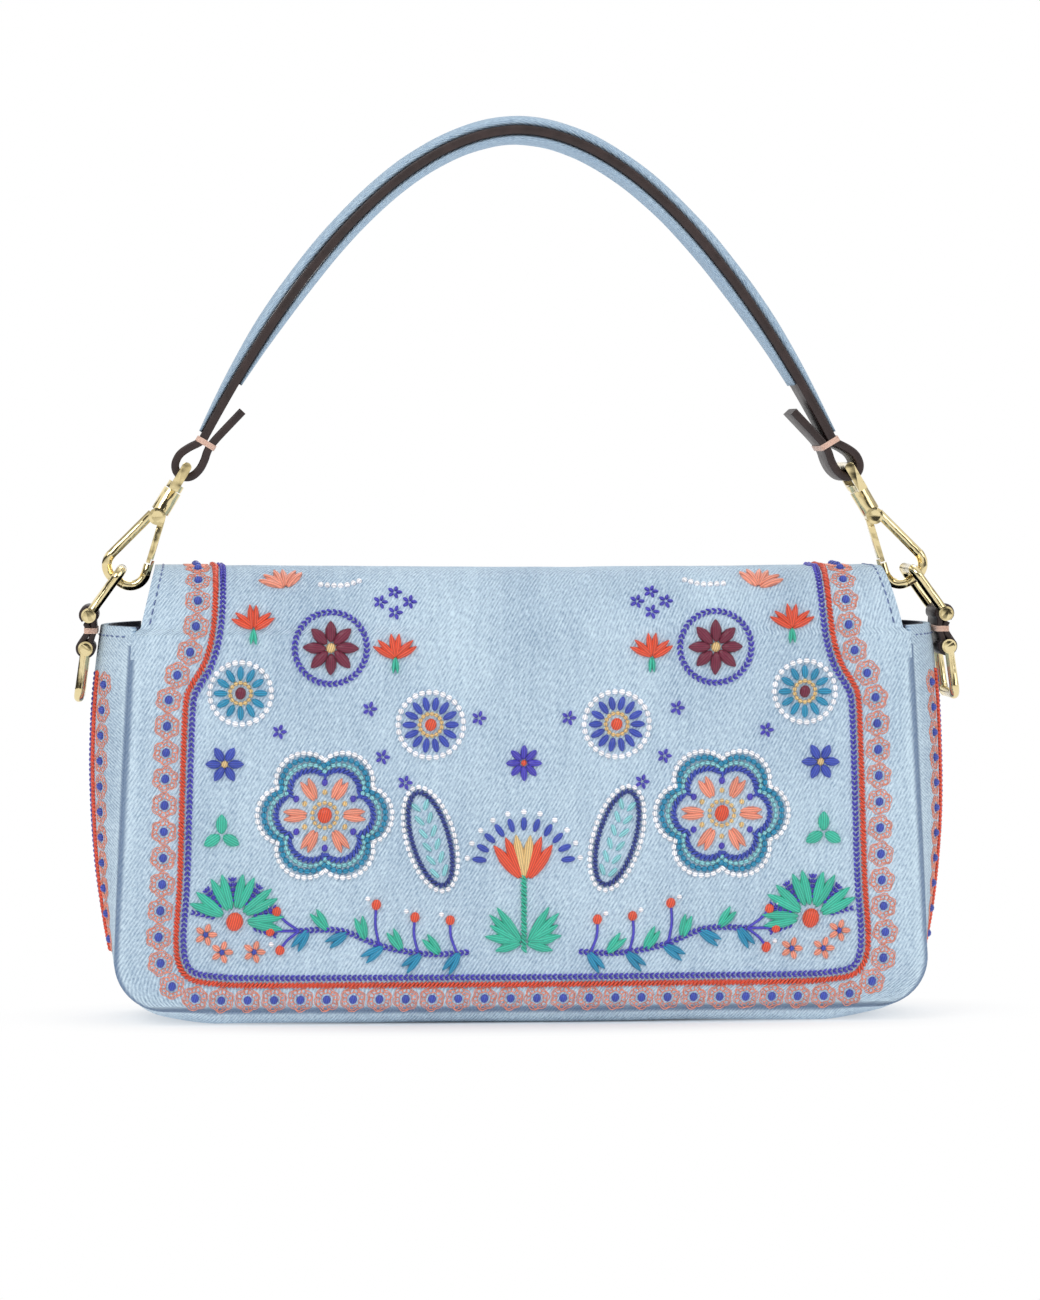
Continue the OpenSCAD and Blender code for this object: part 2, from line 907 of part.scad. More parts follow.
module hook_body() {
    color(gold)
        difference() {
            union() {
                translate([0, 0, head_r - barrel_lap])
                    cylinder(r = barrel_r, h = barrel_top - head_r + barrel_lap);
                y_rod(head_r, -head_hw, head_hw);
                along_side(1)
                    translate([0, 0, -arm_l - bend_lap])
                        cylinder(r = hook_r, h = arm_l + bend_lap);
                hook_bend(1);
                translate([0, 0, -hook_l])
                    x_rod(hook_r, -hook_flat - bend_lap, hook_flat + bend_lap);
                hook_bend(-1);
                along_side(-1)
                    translate([0, 0, -arm_l - bend_lap])
                        cylinder(r = hook_r, h = nose_l + bend_lap);
            }
            // Slot for the gate's knuckle and the sweep of its bar
            y_rod(knuckle_r + metal_gap / 2, -slot_hw, slot_hw);
            slab([-head_r * 2, -slot_hw, -head_r * 2], [sweep_x, slot_hw, slot_top]);
            // Hole for the pin
            y_rod(gate_pin_r, -2 * head_hw, 2 * head_hw);
            // Bore and cavity for the swivel's stem
            translate([0, 0, cavity_low + stem_head_t])
                cylinder(r = stem_r + pin_fit, h = barrel_top);
            translate([0, 0, cavity_low])
                cylinder(r = stem_head_r + metal_gap, h = stem_head_t + 2 * metal_gap);
            // Step in the nose that the gate's tip lies behind
            along_side(-1)
                slab(
                    [lip_t - hook_r, -2 * hook_r, -gate_end - step_l],
                    [2 * hook_r, 2 * hook_r, -gate_end + step_l]
                );
        }
}

module hook_gate() {
    color(gold)
        difference() {
            union() {
                y_rod(knuckle_r, -knuckle_hw, knuckle_hw);
                along_side(-1) {
                    slab([-gate_t, -knuckle_hw, -knuckle_r - gate_t], [gate_t, knuckle_hw, 0]);
                    slab([-gate_t, -gate_hw, -gate_end + metal_gap], [gate_t, gate_hw, -slot_low]);
                    slab(
                        [lip_t + metal_gap - hook_r, -gate_hw, -gate_end - tip_l],
                        [gate_t, gate_hw, -gate_end + metal_gap]
                    );
                }
            }
            y_rod(gate_pin_r + pin_fit, -head_hw, head_hw);
        }
}

module gate_pin() {
    color(gold)
        difference() {
            union() {
                y_rod(gate_pin_r, -head_hw, head_hw);
                y_rod(rivet_r, head_hw, head_hw + rivet_t);
                y_rod(rivet_r, -head_hw - rivet_t, -head_hw);
            }
            for (side = [-1, 1])
                translate([0, side * (head_hw + rivet_t), 0])
                    rotate([0, rivet_turn, 0])
                        cube([3 * rivet_r, rivet_slot, rivet_slot], center = true);
        }
}

module gate_spring() {
    color("silver")
        for (side = [-1, 1])
            translate([0, side * (slot_hw - spring_t * 3 / 4), 0])
                difference() {
                    y_rod(gate_pin_r + seat_gap + spring_w, -spring_t / 2, spring_t / 2);
                    y_rod(gate_pin_r + seat_gap, -spring_t, spring_t);
                }
}

eye_base = barrel_top + metal_gap;
eye_base_t = 2.2;
eye_in = tab_hw + leather_gap;
eye_out = eye_in + eye_t;
eye_bar_r = 1.5;
eye_bar_z = eye_base + eye_h;
eye_foot_r = 2.6;

module hook_eye() {
    color(gold) {
        translate([0, 0, cavity_low + metal_gap])
            cylinder(r = stem_head_r, h = stem_head_t);
        translate([0, 0, cavity_low + metal_gap])
            cylinder(r = stem_r, h = eye_base + eye_base_t / 2 - cavity_low);
        translate([0, 0, eye_base])
            cylinder(r = eye_foot_r, h = eye_base_t);
        slab([-eye_bar_r, -eye_out, eye_base], [eye_bar_r, eye_out, eye_base + eye_base_t]);
        for (side = [-1, 1])
            translate([0, side * (eye_in + eye_t / 2), 0]) {
                slab(
                    [-eye_bar_r, -eye_t / 2, eye_base + eye_base_t / 2],
                    [eye_bar_r, eye_t / 2, eye_bar_z]
                );
                translate([0, 0, eye_bar_z])
                    y_rod(eye_bar_r, -eye_t / 2, eye_t / 2);
            }
        translate([0, 0, eye_bar_z])
            y_rod(eye_bar_r, -eye_in - eye_t / 2, eye_in + eye_t / 2);
    }
}

module right_hook_body() {
    at_hook()
        hook_body();
}

module right_hook_gate() {
    at_hook()
        hook_gate();
}

module right_gate_pin() {
    at_hook()
        gate_pin();
}

module right_gate_spring() {
    at_hook()
        gate_spring();
}

module right_hook_eye() {
    at_hook()
        hook_eye();
}

module left_hook_body() {
    rotate([0, 0, 180])
        right_hook_body();
}

module left_hook_gate() {
    rotate([0, 0, 180])
        right_hook_gate();
}

module left_gate_pin() {
    rotate([0, 0, 180])
        right_gate_pin();
}

module left_gate_spring() {
    rotate([0, 0, 180])
        right_gate_spring();
}

module left_hook_eye() {
    rotate([0, 0, 180])
        right_hook_eye();
}

// Strap, an arch between the two stitched ends

end_up = eye_bar_z + fold_l;
end_x = hook_x - end_up * sin(hook_lean);
end_z = hook_z + end_up * cos(hook_lean);
apex_z = end_z + strap_rise;
arch_k = strap_rise / pow(end_x, strap_power);
strap_steps = 56;
dome_steps = 8;

function arch_z(x) = apex_z - arch_k * pow(abs(x), strap_power);
function arch_slope(x) = -sign(x) * arch_k * strap_power * pow(abs(x), strap_power - 1);
// Outward normal of the arch
function arch_n(x) = let (g = arch_slope(x)) [-g, 1] / norm([g, 1]);
// A point of the arch at an offset, in X and Z
function arch_at(x, off) = [x, arch_z(x)] + off * arch_n(x);
// The stations are closer together towards the steep ends, and the same for all layers
arch_stations = [for (i = [0:strap_steps]) end_x * sin(90 * (2 * i / strap_steps - 1))];
function stations(half) =
    concat([-half], [for (x = arch_stations) if (abs(x) < half - station_room) x], [half]);
station_room = 1;

// The loop inside the fold is rounder than the eye's bar, whose top rests in it
loop_room = 0.9;
fold_in_r = eye_bar_r + loop_room;
fold_out_r = fold_in_r + fold_t;
fold_centre = eye_bar_z + fold_in_r - eye_bar_r - metal_gap;
stitch_t = core_t + fold_t;
seam_lap = 0.5;
slit_end = 3;
slit_r = 0.4;

module along_y(w) {
    translate([0, w / 2, 0])
        rotate([90, 0, 0])
            linear_extrude(w)
                children();
}

// The strip folds round the eye's bar and its tail comes back past the stitching
module strap_fold() {
    at_hook()
        along_y(strap_w)
            difference() {
                union() {
                    hull() {
                        translate([0, fold_centre])
                            circle(fold_out_r);
                        translate([-fold_t - core_t / 2, end_up - seam_lap])
                            square([stitch_t, seam_lap]);
                    }
                    translate([-fold_t - core_t / 2, end_up - seam_lap])
                        square([stitch_t, waist_h + 2 * seam_lap]);
                    translate([-core_t / 2, end_up + waist_h + seam_lap])
                        rotate(tail_splay)
                            translate([-fold_t, -seam_lap])
                                square([fold_t, tail_l - waist_h]);
                }
                hull() {
                    translate([0, fold_centre])
                        circle(fold_in_r);
                    translate([-fold_t / 2, end_up - slit_end])
                        circle(slit_r);
                }
            }
}

module strap_core() {
    color(leather_brown) {
        along_y(strap_w)
            polygon(concat(
                [for (x = arch_stations) arch_at(x, core_t / 2)],
                [for (x = reversed(arch_stations)) arch_at(x, -core_t / 2)]
            ));
        both_sides()
            strap_fold();
    }
}

// Padding grows from the ends and is domed across the strap, thinner at its edges
edge_share = 0.7;
dome_share = 0.9;
function padding(x, half) =
    cover_end_t + (pad_t - cover_end_t) * sin(90 * min(1, (half - abs(x)) / pad_taper));

function cover_ring(x, half, side) = concat(
    [for (j = [0:dome_steps])
        let (
            v = 2 * j / dome_steps - 1,
            edge_t = cover_end_t * edge_share,
            t = edge_t + (padding(x, half) - edge_t) * sqrt(1 - dome_share * v * v),
            q = arch_at(x, side * (core_t / 2 + seat_gap + t))
        )
        [q[0], v * tab_hw, q[1]]],
    [for (j = [1, -1])
        let (q = arch_at(x, side * (core_t / 2 + seat_gap)))
        [q[0], j * tab_hw, q[1]]]
);

module cover(half, side) {
    rings = [for (x = stations(half)) cover_ring(x, half, side)];
    color(denim)
        loft(side > 0 ? rings : reversed(rings));
}

end_angle = atan(abs(arch_slope(end_x)));
// The outer cover starts past the threads, the inner one past the tail
cover_room = 2;
thread_reach = (waist_h + cover_room) * cos(end_angle);
tail_reach = (tail_l + 2 * cover_room) * cos(end_angle);

module strap_outer_cover() {
    cover(end_x - thread_reach, 1);
}

module strap_inner_cover() {
    cover(end_x - tail_reach, -1);
}

module strap_threads() {
    color(thread_beige)
        both_sides()
            at_hook()
                translate([-fold_t - core_t / 2, 0, end_up])
                    difference() {
                        slab(
                            [-thread_t, -tab_hw - thread_t, 0],
                            [stitch_t + 2 * seat_gap + thread_t, tab_hw + thread_t, waist_h]
                        );
                        slab([0, -tab_hw, -waist_h], [stitch_t + 2 * seat_gap, tab_hw, 2 * waist_h]);
                    }
}

back_panel();
front_panel();
left_gusset();
right_gusset();
base_gusset();
back_lining();
front_lining();
side_lining();
roof_lining();
base_board();
body_magnet();
zip_pocket();
zip_tape();
zip_teeth();
zip_slider();
zip_pull();
flap();
flap_lining();
flap_magnet();
left_tab();
right_tab();
tab_threads();
left_upper_link();
left_upper_pin();
left_lower_link();
left_lower_pin();
right_upper_link();
right_upper_pin();
right_lower_link();
right_lower_pin();
left_hook_body();
left_hook_gate();
left_gate_pin();
left_gate_spring();
left_hook_eye();
right_hook_body();
right_hook_gate();
right_gate_pin();
right_gate_spring();
right_hook_eye();
strap_core();
strap_outer_cover();
strap_inner_cover();
strap_threads();
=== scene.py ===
import math
import random

import bmesh
import bpy
from mathutils import Matrix, Vector, noise


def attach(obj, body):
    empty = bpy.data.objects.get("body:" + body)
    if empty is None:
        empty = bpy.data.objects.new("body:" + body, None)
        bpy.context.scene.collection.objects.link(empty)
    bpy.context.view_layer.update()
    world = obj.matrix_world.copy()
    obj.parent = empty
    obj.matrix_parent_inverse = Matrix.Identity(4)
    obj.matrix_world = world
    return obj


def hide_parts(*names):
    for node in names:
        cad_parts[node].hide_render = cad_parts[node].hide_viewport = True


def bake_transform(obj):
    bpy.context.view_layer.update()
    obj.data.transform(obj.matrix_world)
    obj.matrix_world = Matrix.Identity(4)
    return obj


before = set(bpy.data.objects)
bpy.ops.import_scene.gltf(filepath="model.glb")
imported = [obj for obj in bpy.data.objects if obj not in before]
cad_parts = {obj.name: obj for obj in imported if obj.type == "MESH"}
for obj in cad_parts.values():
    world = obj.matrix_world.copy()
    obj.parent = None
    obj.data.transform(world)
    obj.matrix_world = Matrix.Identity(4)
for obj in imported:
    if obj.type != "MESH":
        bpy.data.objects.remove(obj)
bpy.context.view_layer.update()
scene = bpy.context.scene

# ---- Camera ----
# A catalogue picture: the camera stands far off, a little to the left of the back
# panel's middle and just above it, so that a strip of the left side shows.
MM = 0.001
camera_aim = Vector((-1.2, -30, 117.2)) * MM
camera_turn, camera_rise = math.radians(-4), math.radians(2.5)
camera_distance = 1.5
picture_height = 404.3 * MM
towards_camera = Vector((
    math.sin(camera_turn) * math.cos(camera_rise),
    -math.cos(camera_turn) * math.cos(camera_rise),
    math.sin(camera_rise),
))
camera = bpy.data.objects.new("camera", bpy.data.cameras.new("camera"))
camera.data.sensor_width = 36
camera.data.lens = camera.data.sensor_width * camera_distance / picture_height
camera.location = camera_aim + towards_camera * camera_distance
camera.rotation_euler = (-towards_camera).to_track_quat("-Z", "Y").to_euler()
scene.collection.objects.link(camera)
scene.camera = camera


# ---- Back panel, roof and flap ----
# One long piece of stiffened light blue twill: it stands up from the bottom seam,
# rolls over the top edge, and rolls down again as the flap, with turned edges.
class Socket:
    """An output in a material's nodes. Python's operators on it add Math nodes."""

    def __init__(self, output):
        self.output = output

    def node(self, kind, settings, inputs, result=0):
        """Adds a node: first its settings, then the values or links of its sockets."""
        tree = self.output.id_data
        added = tree.nodes.new(kind)
        for name, value in settings.items():
            if name == "stops":
                ramp = added.color_ramp
                while len(ramp.elements) < len(value):
                    ramp.elements.new(0.5)
                for stop, (position, colour) in zip(ramp.elements, value):
                    stop.position, stop.color = position, colour
            else:
                setattr(added, name, value)
        for key, value in inputs.items():
            if isinstance(value, Socket):
                tree.links.new(value.output, added.inputs[key])
            else:
                added.inputs[key].default_value = value
        return Socket(added.outputs[result])

    def __add__(self, other):
        return self.node("ShaderNodeMath", {"operation": "ADD"}, {0: self, 1: other})

    def __sub__(self, other):
        return self.node("ShaderNodeMath", {"operation": "SUBTRACT"}, {0: self, 1: other})

    def __rsub__(self, other):
        return self.node("ShaderNodeMath", {"operation": "SUBTRACT"}, {0: other, 1: self})

    def __mul__(self, other):
        return self.node("ShaderNodeMath", {"operation": "MULTIPLY"}, {0: self, 1: other})

    __radd__, __rmul__ = __add__, __mul__


def sine(angle):
    return angle.node("ShaderNodeMath", {"operation": "SINE"}, {0: angle})


def dyed(red, green, blue):
    """A colour as seen on a screen, 0 to 255, as the linear colour that shaders use."""
    return (*(((c / 255 + 0.055) / 1.055) ** 2.4 for c in (red, green, blue)), 1)


def new_material(name, source="ShaderNodeTexCoord", output="Object", **constants):
    """A material, its shader, and the coordinates that its patterns start from."""
    material = bpy.data.materials.new(name)
    material.use_nodes = True
    tree = material.node_tree
    shader = tree.nodes["Principled BSDF"]
    for socket, value in constants.items():
        shader.inputs[socket.replace("_", " ")].default_value = value
    return material, shader, Socket(tree.nodes.new(source).outputs[output])


def connect(shader, **values):
    for socket, value in values.items():
        shader.id_data.links.new(value.output, shader.inputs[socket.replace("_", " ")])


def mixed(share, first, second):
    return share.node(
        "ShaderNodeMix", {"data_type": "RGBA"}, {0: share, 6: first, 7: second}, result=2
    )


def stretched(place, scale, turn=0):
    return place.node(
        "ShaderNodeMapping", {}, {"Vector": place, "Scale": scale, "Rotation": (0, 0, turn)}
    )


def mottled(place, scale, detail=2, roughness=0.5):
    return place.node(
        "ShaderNodeTexNoise",
        {},
        {"Vector": place, "Scale": scale, "Detail": detail, "Roughness": roughness},
    )


def bumped(height, depth, strength=1.0):
    return height.node(
        "ShaderNodeBump", {}, {"Height": height, "Distance": depth, "Strength": strength}
    )


def denim(name, pale, deep):
    """Washed twill: pale ribs climbing right, slubs along the warp, worn patches, painted seam
    shade.
    """
    twill_pitch, twill_lean = 0.95 * MM, math.radians(62)
    material, shader, cloth = new_material(
        name, "ShaderNodeUVMap", "UV", Roughness=0.9, Sheen_Weight=0.1, Sheen_Roughness=0.6
    )
    turned = stretched(cloth, (1, 1, 1), math.pi / 2 - twill_lean)
    across_ribs = turned.node("ShaderNodeSeparateXYZ", {}, {"Vector": turned}, 0)
    rib = sine(across_ribs * (math.tau / twill_pitch) + mottled(cloth, 120) * 3) * 0.5 + 0.5
    yarn = mottled(stretched(turned, (1700, 650, 1)), 1, 3, 0.7)
    slubs = mottled(stretched(cloth, (500, 40, 1)), 1, 3)
    wash = mottled(stretched(cloth, (24, 12, 1)), 1, 4, 0.6)
    tone = rib * 0.36 + yarn * 1.75 + slubs * 0.35 + wash * 0.7 - 1.08
    seam = cloth.node("ShaderNodeAttribute", {"attribute_name": "seam"}, {}, 2)

    def beside_seam(near, far):
        """1 at the sewn edge, fading to 0 between two distances in millimetres."""
        return seam.node("ShaderNodeMapRange", {"interpolation_type": "SMOOTHSTEP"},
                         {0: seam, 1: near, 2: far, 3: 1.0, 4: 0.0})

    # Painted shade darkens the sewn groove, with the darker indigo that stays there, and the
    # fold beside it is rubbed pale
    painted_seam_shade, fold = beside_seam(0.5, 2.0), beside_seam(1.6, 6.0)
    shade = tone.node(
        "ShaderNodeValToRGB", {"stops": [(0.10, deep), (0.86, pale)]},
        {"Fac": tone + fold * 0.12 - painted_seam_shade * 0.2},
    )
    # Towards the seam the colour is mixed with a dark blue painted shade colour
    colour = mixed(painted_seam_shade * 0.75, shade, dyed(92, 116, 152))
    connect(shader, Base_Color=colour, Normal=bumped(rib * 0.8 + yarn * 0.9, 0.2 * MM, 0.9))
    return material


# The cloth's side view: up the back, round a roll, across the roof, round and down
back_seam_z, roll_start_z, bag_top_z = 4.9, 122.8, 142.8
roll_radius, half_depth = 20, 30
flap_end_z = 16
panel_thickness = 2.2
corner_x, corner_radius = 111.8, 15.6
neck_x, flap_x, flap_corner = 119.2, 114.5, 20
seam_foot_x, corner_z, hem_z, lean_in = 127.4, 20.5, 124.6, 5.9
quarter = roll_radius * math.pi / 2
# How far from the bottom seam the roll, the roof, the front roll and the flap begin
roll_length = roll_start_z - back_seam_z
roof_length = roll_length + quarter
front_roll_length = roof_length + 2 * (half_depth - roll_radius)
flap_length = front_roll_length + quarter
strip_length = flap_length + roll_start_z - flap_end_z


def seam_half_width(z):
    """Half width of the back panel at its side seams, which lean in from the corners up."""
    return seam_foot_x - lean_in * max(0, min(1, (z - corner_z) / (hem_z - corner_z)))


def strip_half_width(s):
    """Half width of the cloth at a length from the bottom seam."""
    if s < corner_radius:
        return corner_x + math.sqrt(max(0, corner_radius**2 - (corner_radius - s) ** 2))
    if s < roll_length:
        return seam_half_width(back_seam_z + s)
    if s < roof_length:
        return neck_x + (flap_x - neck_x) * math.sin((s - roll_length) / quarter * math.pi / 2)
    past = s - (strip_length - flap_corner)
    if past > 0:
        return flap_x - flap_corner + math.sqrt(max(0, flap_corner**2 - past**2))
    return flap_x


def strip_section(s):
    """Y, Z and the outward direction of the cloth at a length from the bottom seam."""
    if s < roll_length:
        return -half_depth, back_seam_z + s, (-1, 0)
    if s < roof_length:
        a = (s - roll_length) / roll_radius
        out = (-math.cos(a), math.sin(a))
        centre = roll_radius - half_depth
    elif s < front_roll_length:
        return roll_radius - half_depth + s - roof_length, bag_top_z, (0, 1)
    elif s < flap_length:
        a = (s - front_roll_length) / roll_radius
        out = (math.sin(a), math.cos(a))
        centre = half_depth - roll_radius
    else:
        return half_depth, roll_start_z - (s - flap_length), (1, 0)
    return centre + roll_radius * out[0], roll_start_z + roll_radius * out[1], out


def strip_relief(x, s):
    """How far the soft cloth stands proud of its stiffener, in millimetres."""
    edge = strip_half_width(s) - abs(x)
    seam = min(edge, s) if s < roll_length else edge + 6
    wave = noise.noise(Vector((x / 38, s / 46, 3.1))) * 0.55
    wave += noise.noise(Vector((x / 13, s / 17, 7.7))) * 0.16
    sag = -0.9 * math.exp(-(((s - roof_length - 10) / 14) ** 2)) * math.cos(x / 229 * math.pi)
    return wave + sag - 1.9 * math.exp(-((max(0, seam) / 2.6) ** 2))


def on_strip(x, s, lift=0.0):
    """A point on the cloth, a width from its middle and a length from the bottom seam."""
    y, z, out = strip_section(s)
    lift += strip_relief(x, s)
    return Vector((x, y + out[0] * lift, z + out[1] * lift))


unsewn = 99


def cloth_grid(across, along, width, length, place, seam=lambda u, v: unsewn):
    """A grid with the UV map "cloth" in metres, each corner put by place(u, v), 0 to 1.

    Its attribute "seam" holds the distance to the nearest sewn edge, in millimetres."""
    bm = bmesh.new()
    uv = bm.loops.layers.uv.new("cloth")
    from_seam = bm.verts.layers.float.new("seam")
    bmesh.ops.create_grid(bm, x_segments=across, y_segments=along, size=0.5)
    for face in bm.faces:
        for loop in face.loops:
            u, v = loop.vert.co.x + 0.5, loop.vert.co.y + 0.5
            loop[uv].uv = (u * width * MM, v * length * MM)
    for vert in bm.verts:
        u, v = vert.co.x + 0.5, vert.co.y + 0.5
        vert[from_seam] = seam(u, v)
        vert.co = place(u, v) * MM
    return bm


def finished(bm, name, material):
    """The finished piece, smooth, with its place in its mesh."""
    mesh = bpy.data.meshes.new(name)
    bm.to_mesh(mesh)
    bm.free()
    mesh.shade_smooth()
    mesh.materials.append(material)
    piece = bpy.data.objects.new(name, mesh)
    scene.collection.objects.link(piece)
    return piece


def thickened(piece, thickness, edge=0.6):
    """Gives a sheet its thickness inwards and rounds its cut edges."""
    wall = piece.modifiers.new("thickness", "SOLIDIFY")
    wall.thickness, wall.offset = thickness * MM, -1
    rim = piece.modifiers.new("turned edge", "BEVEL")
    rim.width, rim.segments, rim.profile = edge * MM, 2, 0.5
    rim.limit_method, rim.angle_limit = "ANGLE", math.radians(50)
    return piece


panel_denim = denim("panel denim", dyed(214, 235, 249), dyed(138, 163, 189))


def strip_place(u, v):
    # The first and last rows lie a little closer together, round the corners
    s = strip_length * (0.88 * v + 0.06 * (1 - math.cos(math.pi * v)))
    return on_strip((2 * u - 1) * strip_half_width(s), s)


def strip_seam(u, v):
    """Distance to the side or bottom seam; the roof and flap have none."""
    s = v * strip_length
    return unsewn if s > roll_length - 5 else min(s, min(u, 1 - u) * 2 * strip_half_width(s))


strip = thickened(
    finished(
        cloth_grid(116, 170, 2 * flap_x, strip_length, strip_place, strip_seam),
        "denim_back_and_flap",
        panel_denim,
    ),
    panel_thickness,
)
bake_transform(strip)
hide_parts("back_panel", "flap")


# ---- Front panel ----
# The same denim, sewn to the sides and base, with its top edge turned in; the flap
# hides it while the bag is closed.
front_top_z, front_y = 121.8, 26.3


def front_place(u, v):
    s = v * (front_top_z - back_seam_z)
    half = strip_half_width(min(s, roll_length - 0.01))
    x = (1 - 2 * u) * half
    relief = noise.noise(Vector((x / 40, (back_seam_z + s) / 44, 11))) * 0.3
    relief -= 1.4 * math.exp(-((max(0, min(half - abs(x), s)) / 2.4) ** 2))
    return Vector((x, front_y + relief, back_seam_z + s))


front = thickened(
    finished(
        cloth_grid(90, 60, 250, front_top_z - back_seam_z, front_place),
        "denim_front",
        panel_denim,
    ),
    2.0,
)
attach(front, "bag")
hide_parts("front_panel")


# ---- Sides and base ----
# A padded strip of denim, sewn edge to edge between the two panels: it swells out
# at the sides, turns the lower corners, and hangs below the seams as the base.
back_seam_y, front_seam_y = -27.8, 24.3
side_width, padded_width = front_seam_y - back_seam_y, 56
side_run = hem_z - corner_z
corner_run = corner_radius * math.pi / 2
turn_run = corner_run / 2 + corner_radius
half_run = side_run + corner_run + corner_x


def side_seam(q):
    """Seam point, outward direction, swell and edge share at a length from the right hem."""
    if q < side_run:
        z = hem_z - q
        up = (z - corner_z) / side_run
        swell = 0.8 + 10.7 * math.sin(math.radians(120 * up**0.85))
        return (seam_half_width(z), z), (1, 0), swell, 0.5
    past = q - side_run
    turned = max(0, past - corner_run / 2)
    share = min(1, turned / turn_run)
    swell = 0.8 + 4 * math.sin(math.pi / 2 * share)
    edge = 0.5 - 0.35 * share
    if past < corner_run:
        a = past / corner_radius
        point = (corner_x + corner_radius * math.cos(a), corner_z - corner_radius * math.sin(a))
        return point, (math.cos(a), -math.sin(a)), swell, edge
    return (corner_x - (past - corner_run), back_seam_z), (0, -1), swell, edge


def on_side(q, t, lift=0.0):
    """A point of the strip: length from the right hem, share of the way to the front seam."""
    mirror = q > half_run
    (x, z), out, swell, edge = side_seam(2 * half_run - q if mirror else q)
    rise = math.sin(math.pi / 2 * min(1, min(t, 1 - t) / edge)) if 0 < t < 1 else 0
    relief = noise.noise(Vector((q / 34, t * 1.6, 5.5))) * 0.5 * rise
    reach = swell * rise + relief + lift
    x, z = x + out[0] * reach, max(0.05, z + out[1] * reach)
    return Vector((-x if mirror else x, back_seam_y + side_width * t, z))


def side_place(u, v):
    return on_side(u * 2 * half_run, v)


def side_seam_distance(u, v):
    at_hem = min(u, 1 - u) * 2 * half_run < 5
    return unsewn if at_hem else min(v, 1 - v) * padded_width


sides = thickened(
    finished(
        cloth_grid(330, 48, 2 * half_run, padded_width, side_place, side_seam_distance),
        "denim_sides_and_base",
        panel_denim,
    ),
    2.0,
    0.5,
)
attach(sides, "bag")
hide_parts("left_gusset", "right_gusset", "base_gusset")


# ---- Embroidery ----
# Folk stitching in matte rayon thread, done before the bag is sewn up: a border of
# dot flowers and two corded lines along the seams, and a mirrored garden inside it.
coral, salmon, sand = dyed(240, 88, 56), dyed(252, 158, 130), dyed(244, 208, 140)
royal, violet, navy = dyed(62, 84, 190), dyed(78, 70, 196), dyed(52, 70, 150)
mint, teal, aqua = dyed(62, 200, 168), dyed(40, 150, 190), dyed(150, 222, 226)
burgundy, white = dyed(122, 32, 62), (1.15, 1.15, 1.15, 1)


def rayon():
    """Thread in its stitch's dye, with fine strands along each stitch in painted shade and
    highlight.
    """
    material, shader, strand = new_material(
        "rayon thread", "ShaderNodeAttribute", "Vector", Roughness=0.42, Sheen_Weight=0.15
    )
    strand.output.node.attribute_name = "strand"
    dye = strand.node("ShaderNodeVertexColor", {"layer_name": "dye"}, {})
    across = strand.node("ShaderNodeSeparateXYZ", {}, {"Vector": strand}, 1)
    lines = sine(across * 9) * 0.5 + 0.5
    depth = lines * 0.6 + mottled(strand, 3.5) * 0.55
    # Painted shade in the gaps between strands and a painted highlight on them, multiplied into
    # the dye
    shade = mixed(depth, (0.38, 0.36, 0.42, 1), (1.18, 1.18, 1.18, 1))
    colour = dye.node(
        "ShaderNodeMix", {"data_type": "RGBA", "blend_type": "MULTIPLY"},
        {0: 1.0, 6: dye, 7: shade}, 2,
    )
    connect(shader, Base_Color=colour, Normal=bumped(depth, 0.14 * MM, 0.8))
    return material


rayon_thread = rayon()


def smooth_path(points, steps, closed=False):
    """Points on a Catmull-Rom curve through the given ones."""
    n, path = len(points), []
    for i in range(n if closed else n - 1):
        p = [
            points[(i + k) % n] if closed else points[max(0, min(n - 1, i + k))]
            for k in (-1, 0, 1, 2)
        ]
        for t in (j / steps for j in range(steps)):
            path.append(0.5 * (
                2 * p[1] + (p[2] - p[0]) * t
                + (2 * p[0] - 5 * p[1] + 4 * p[2] - p[3]) * t * t
                + (3 * p[1] - p[0] - 3 * p[2] + p[3]) * t**3
            ))
    return path if closed else path + [points[-1]]


def spaced(points, pitch, closed=False):
    """Places at an even pitch along a line, each with the line's direction there."""
    ends = points + points[:1] if closed else points
    total = sum((b - a).length for a, b in zip(ends, ends[1:]))
    count = max(1, round(total / pitch))
    step, wanted, passed, places = total / count, total / count / 2, 0, []
    for a, b in zip(ends, ends[1:]):
        run = b - a
        while wanted < passed + run.length and run.length > 0:
            spot = a + run * ((wanted - passed) / run.length)
            places.append((spot, math.atan2(run.y, run.x)))
            wanted += step
        passed += run.length
    return places


def polar(x, y, reach, turn):
    return Vector((x + reach * math.cos(turn), y + reach * math.sin(turn)))


def spokes(count):
    """Directions evenly spaced round a full turn."""
    return [math.tau * i / count for i in range(count)]


def ring_path(x, y, radius):
    return [polar(x, y, radius, turn) for turn in spokes(40)]


def sealed(bm, capped=True):
    """Joins the edges of a rolled grid where they meet, and closes its open ends."""
    bmesh.ops.remove_doubles(bm, verts=bm.verts[:], dist=1e-7)
    rim = [edge for edge in bm.edges if edge.is_boundary]
    if rim and capped:
        bmesh.ops.holes_fill(bm, edges=rim, sides=0)
    bmesh.ops.recalc_face_normals(bm, faces=bm.faces[:])
    return bm


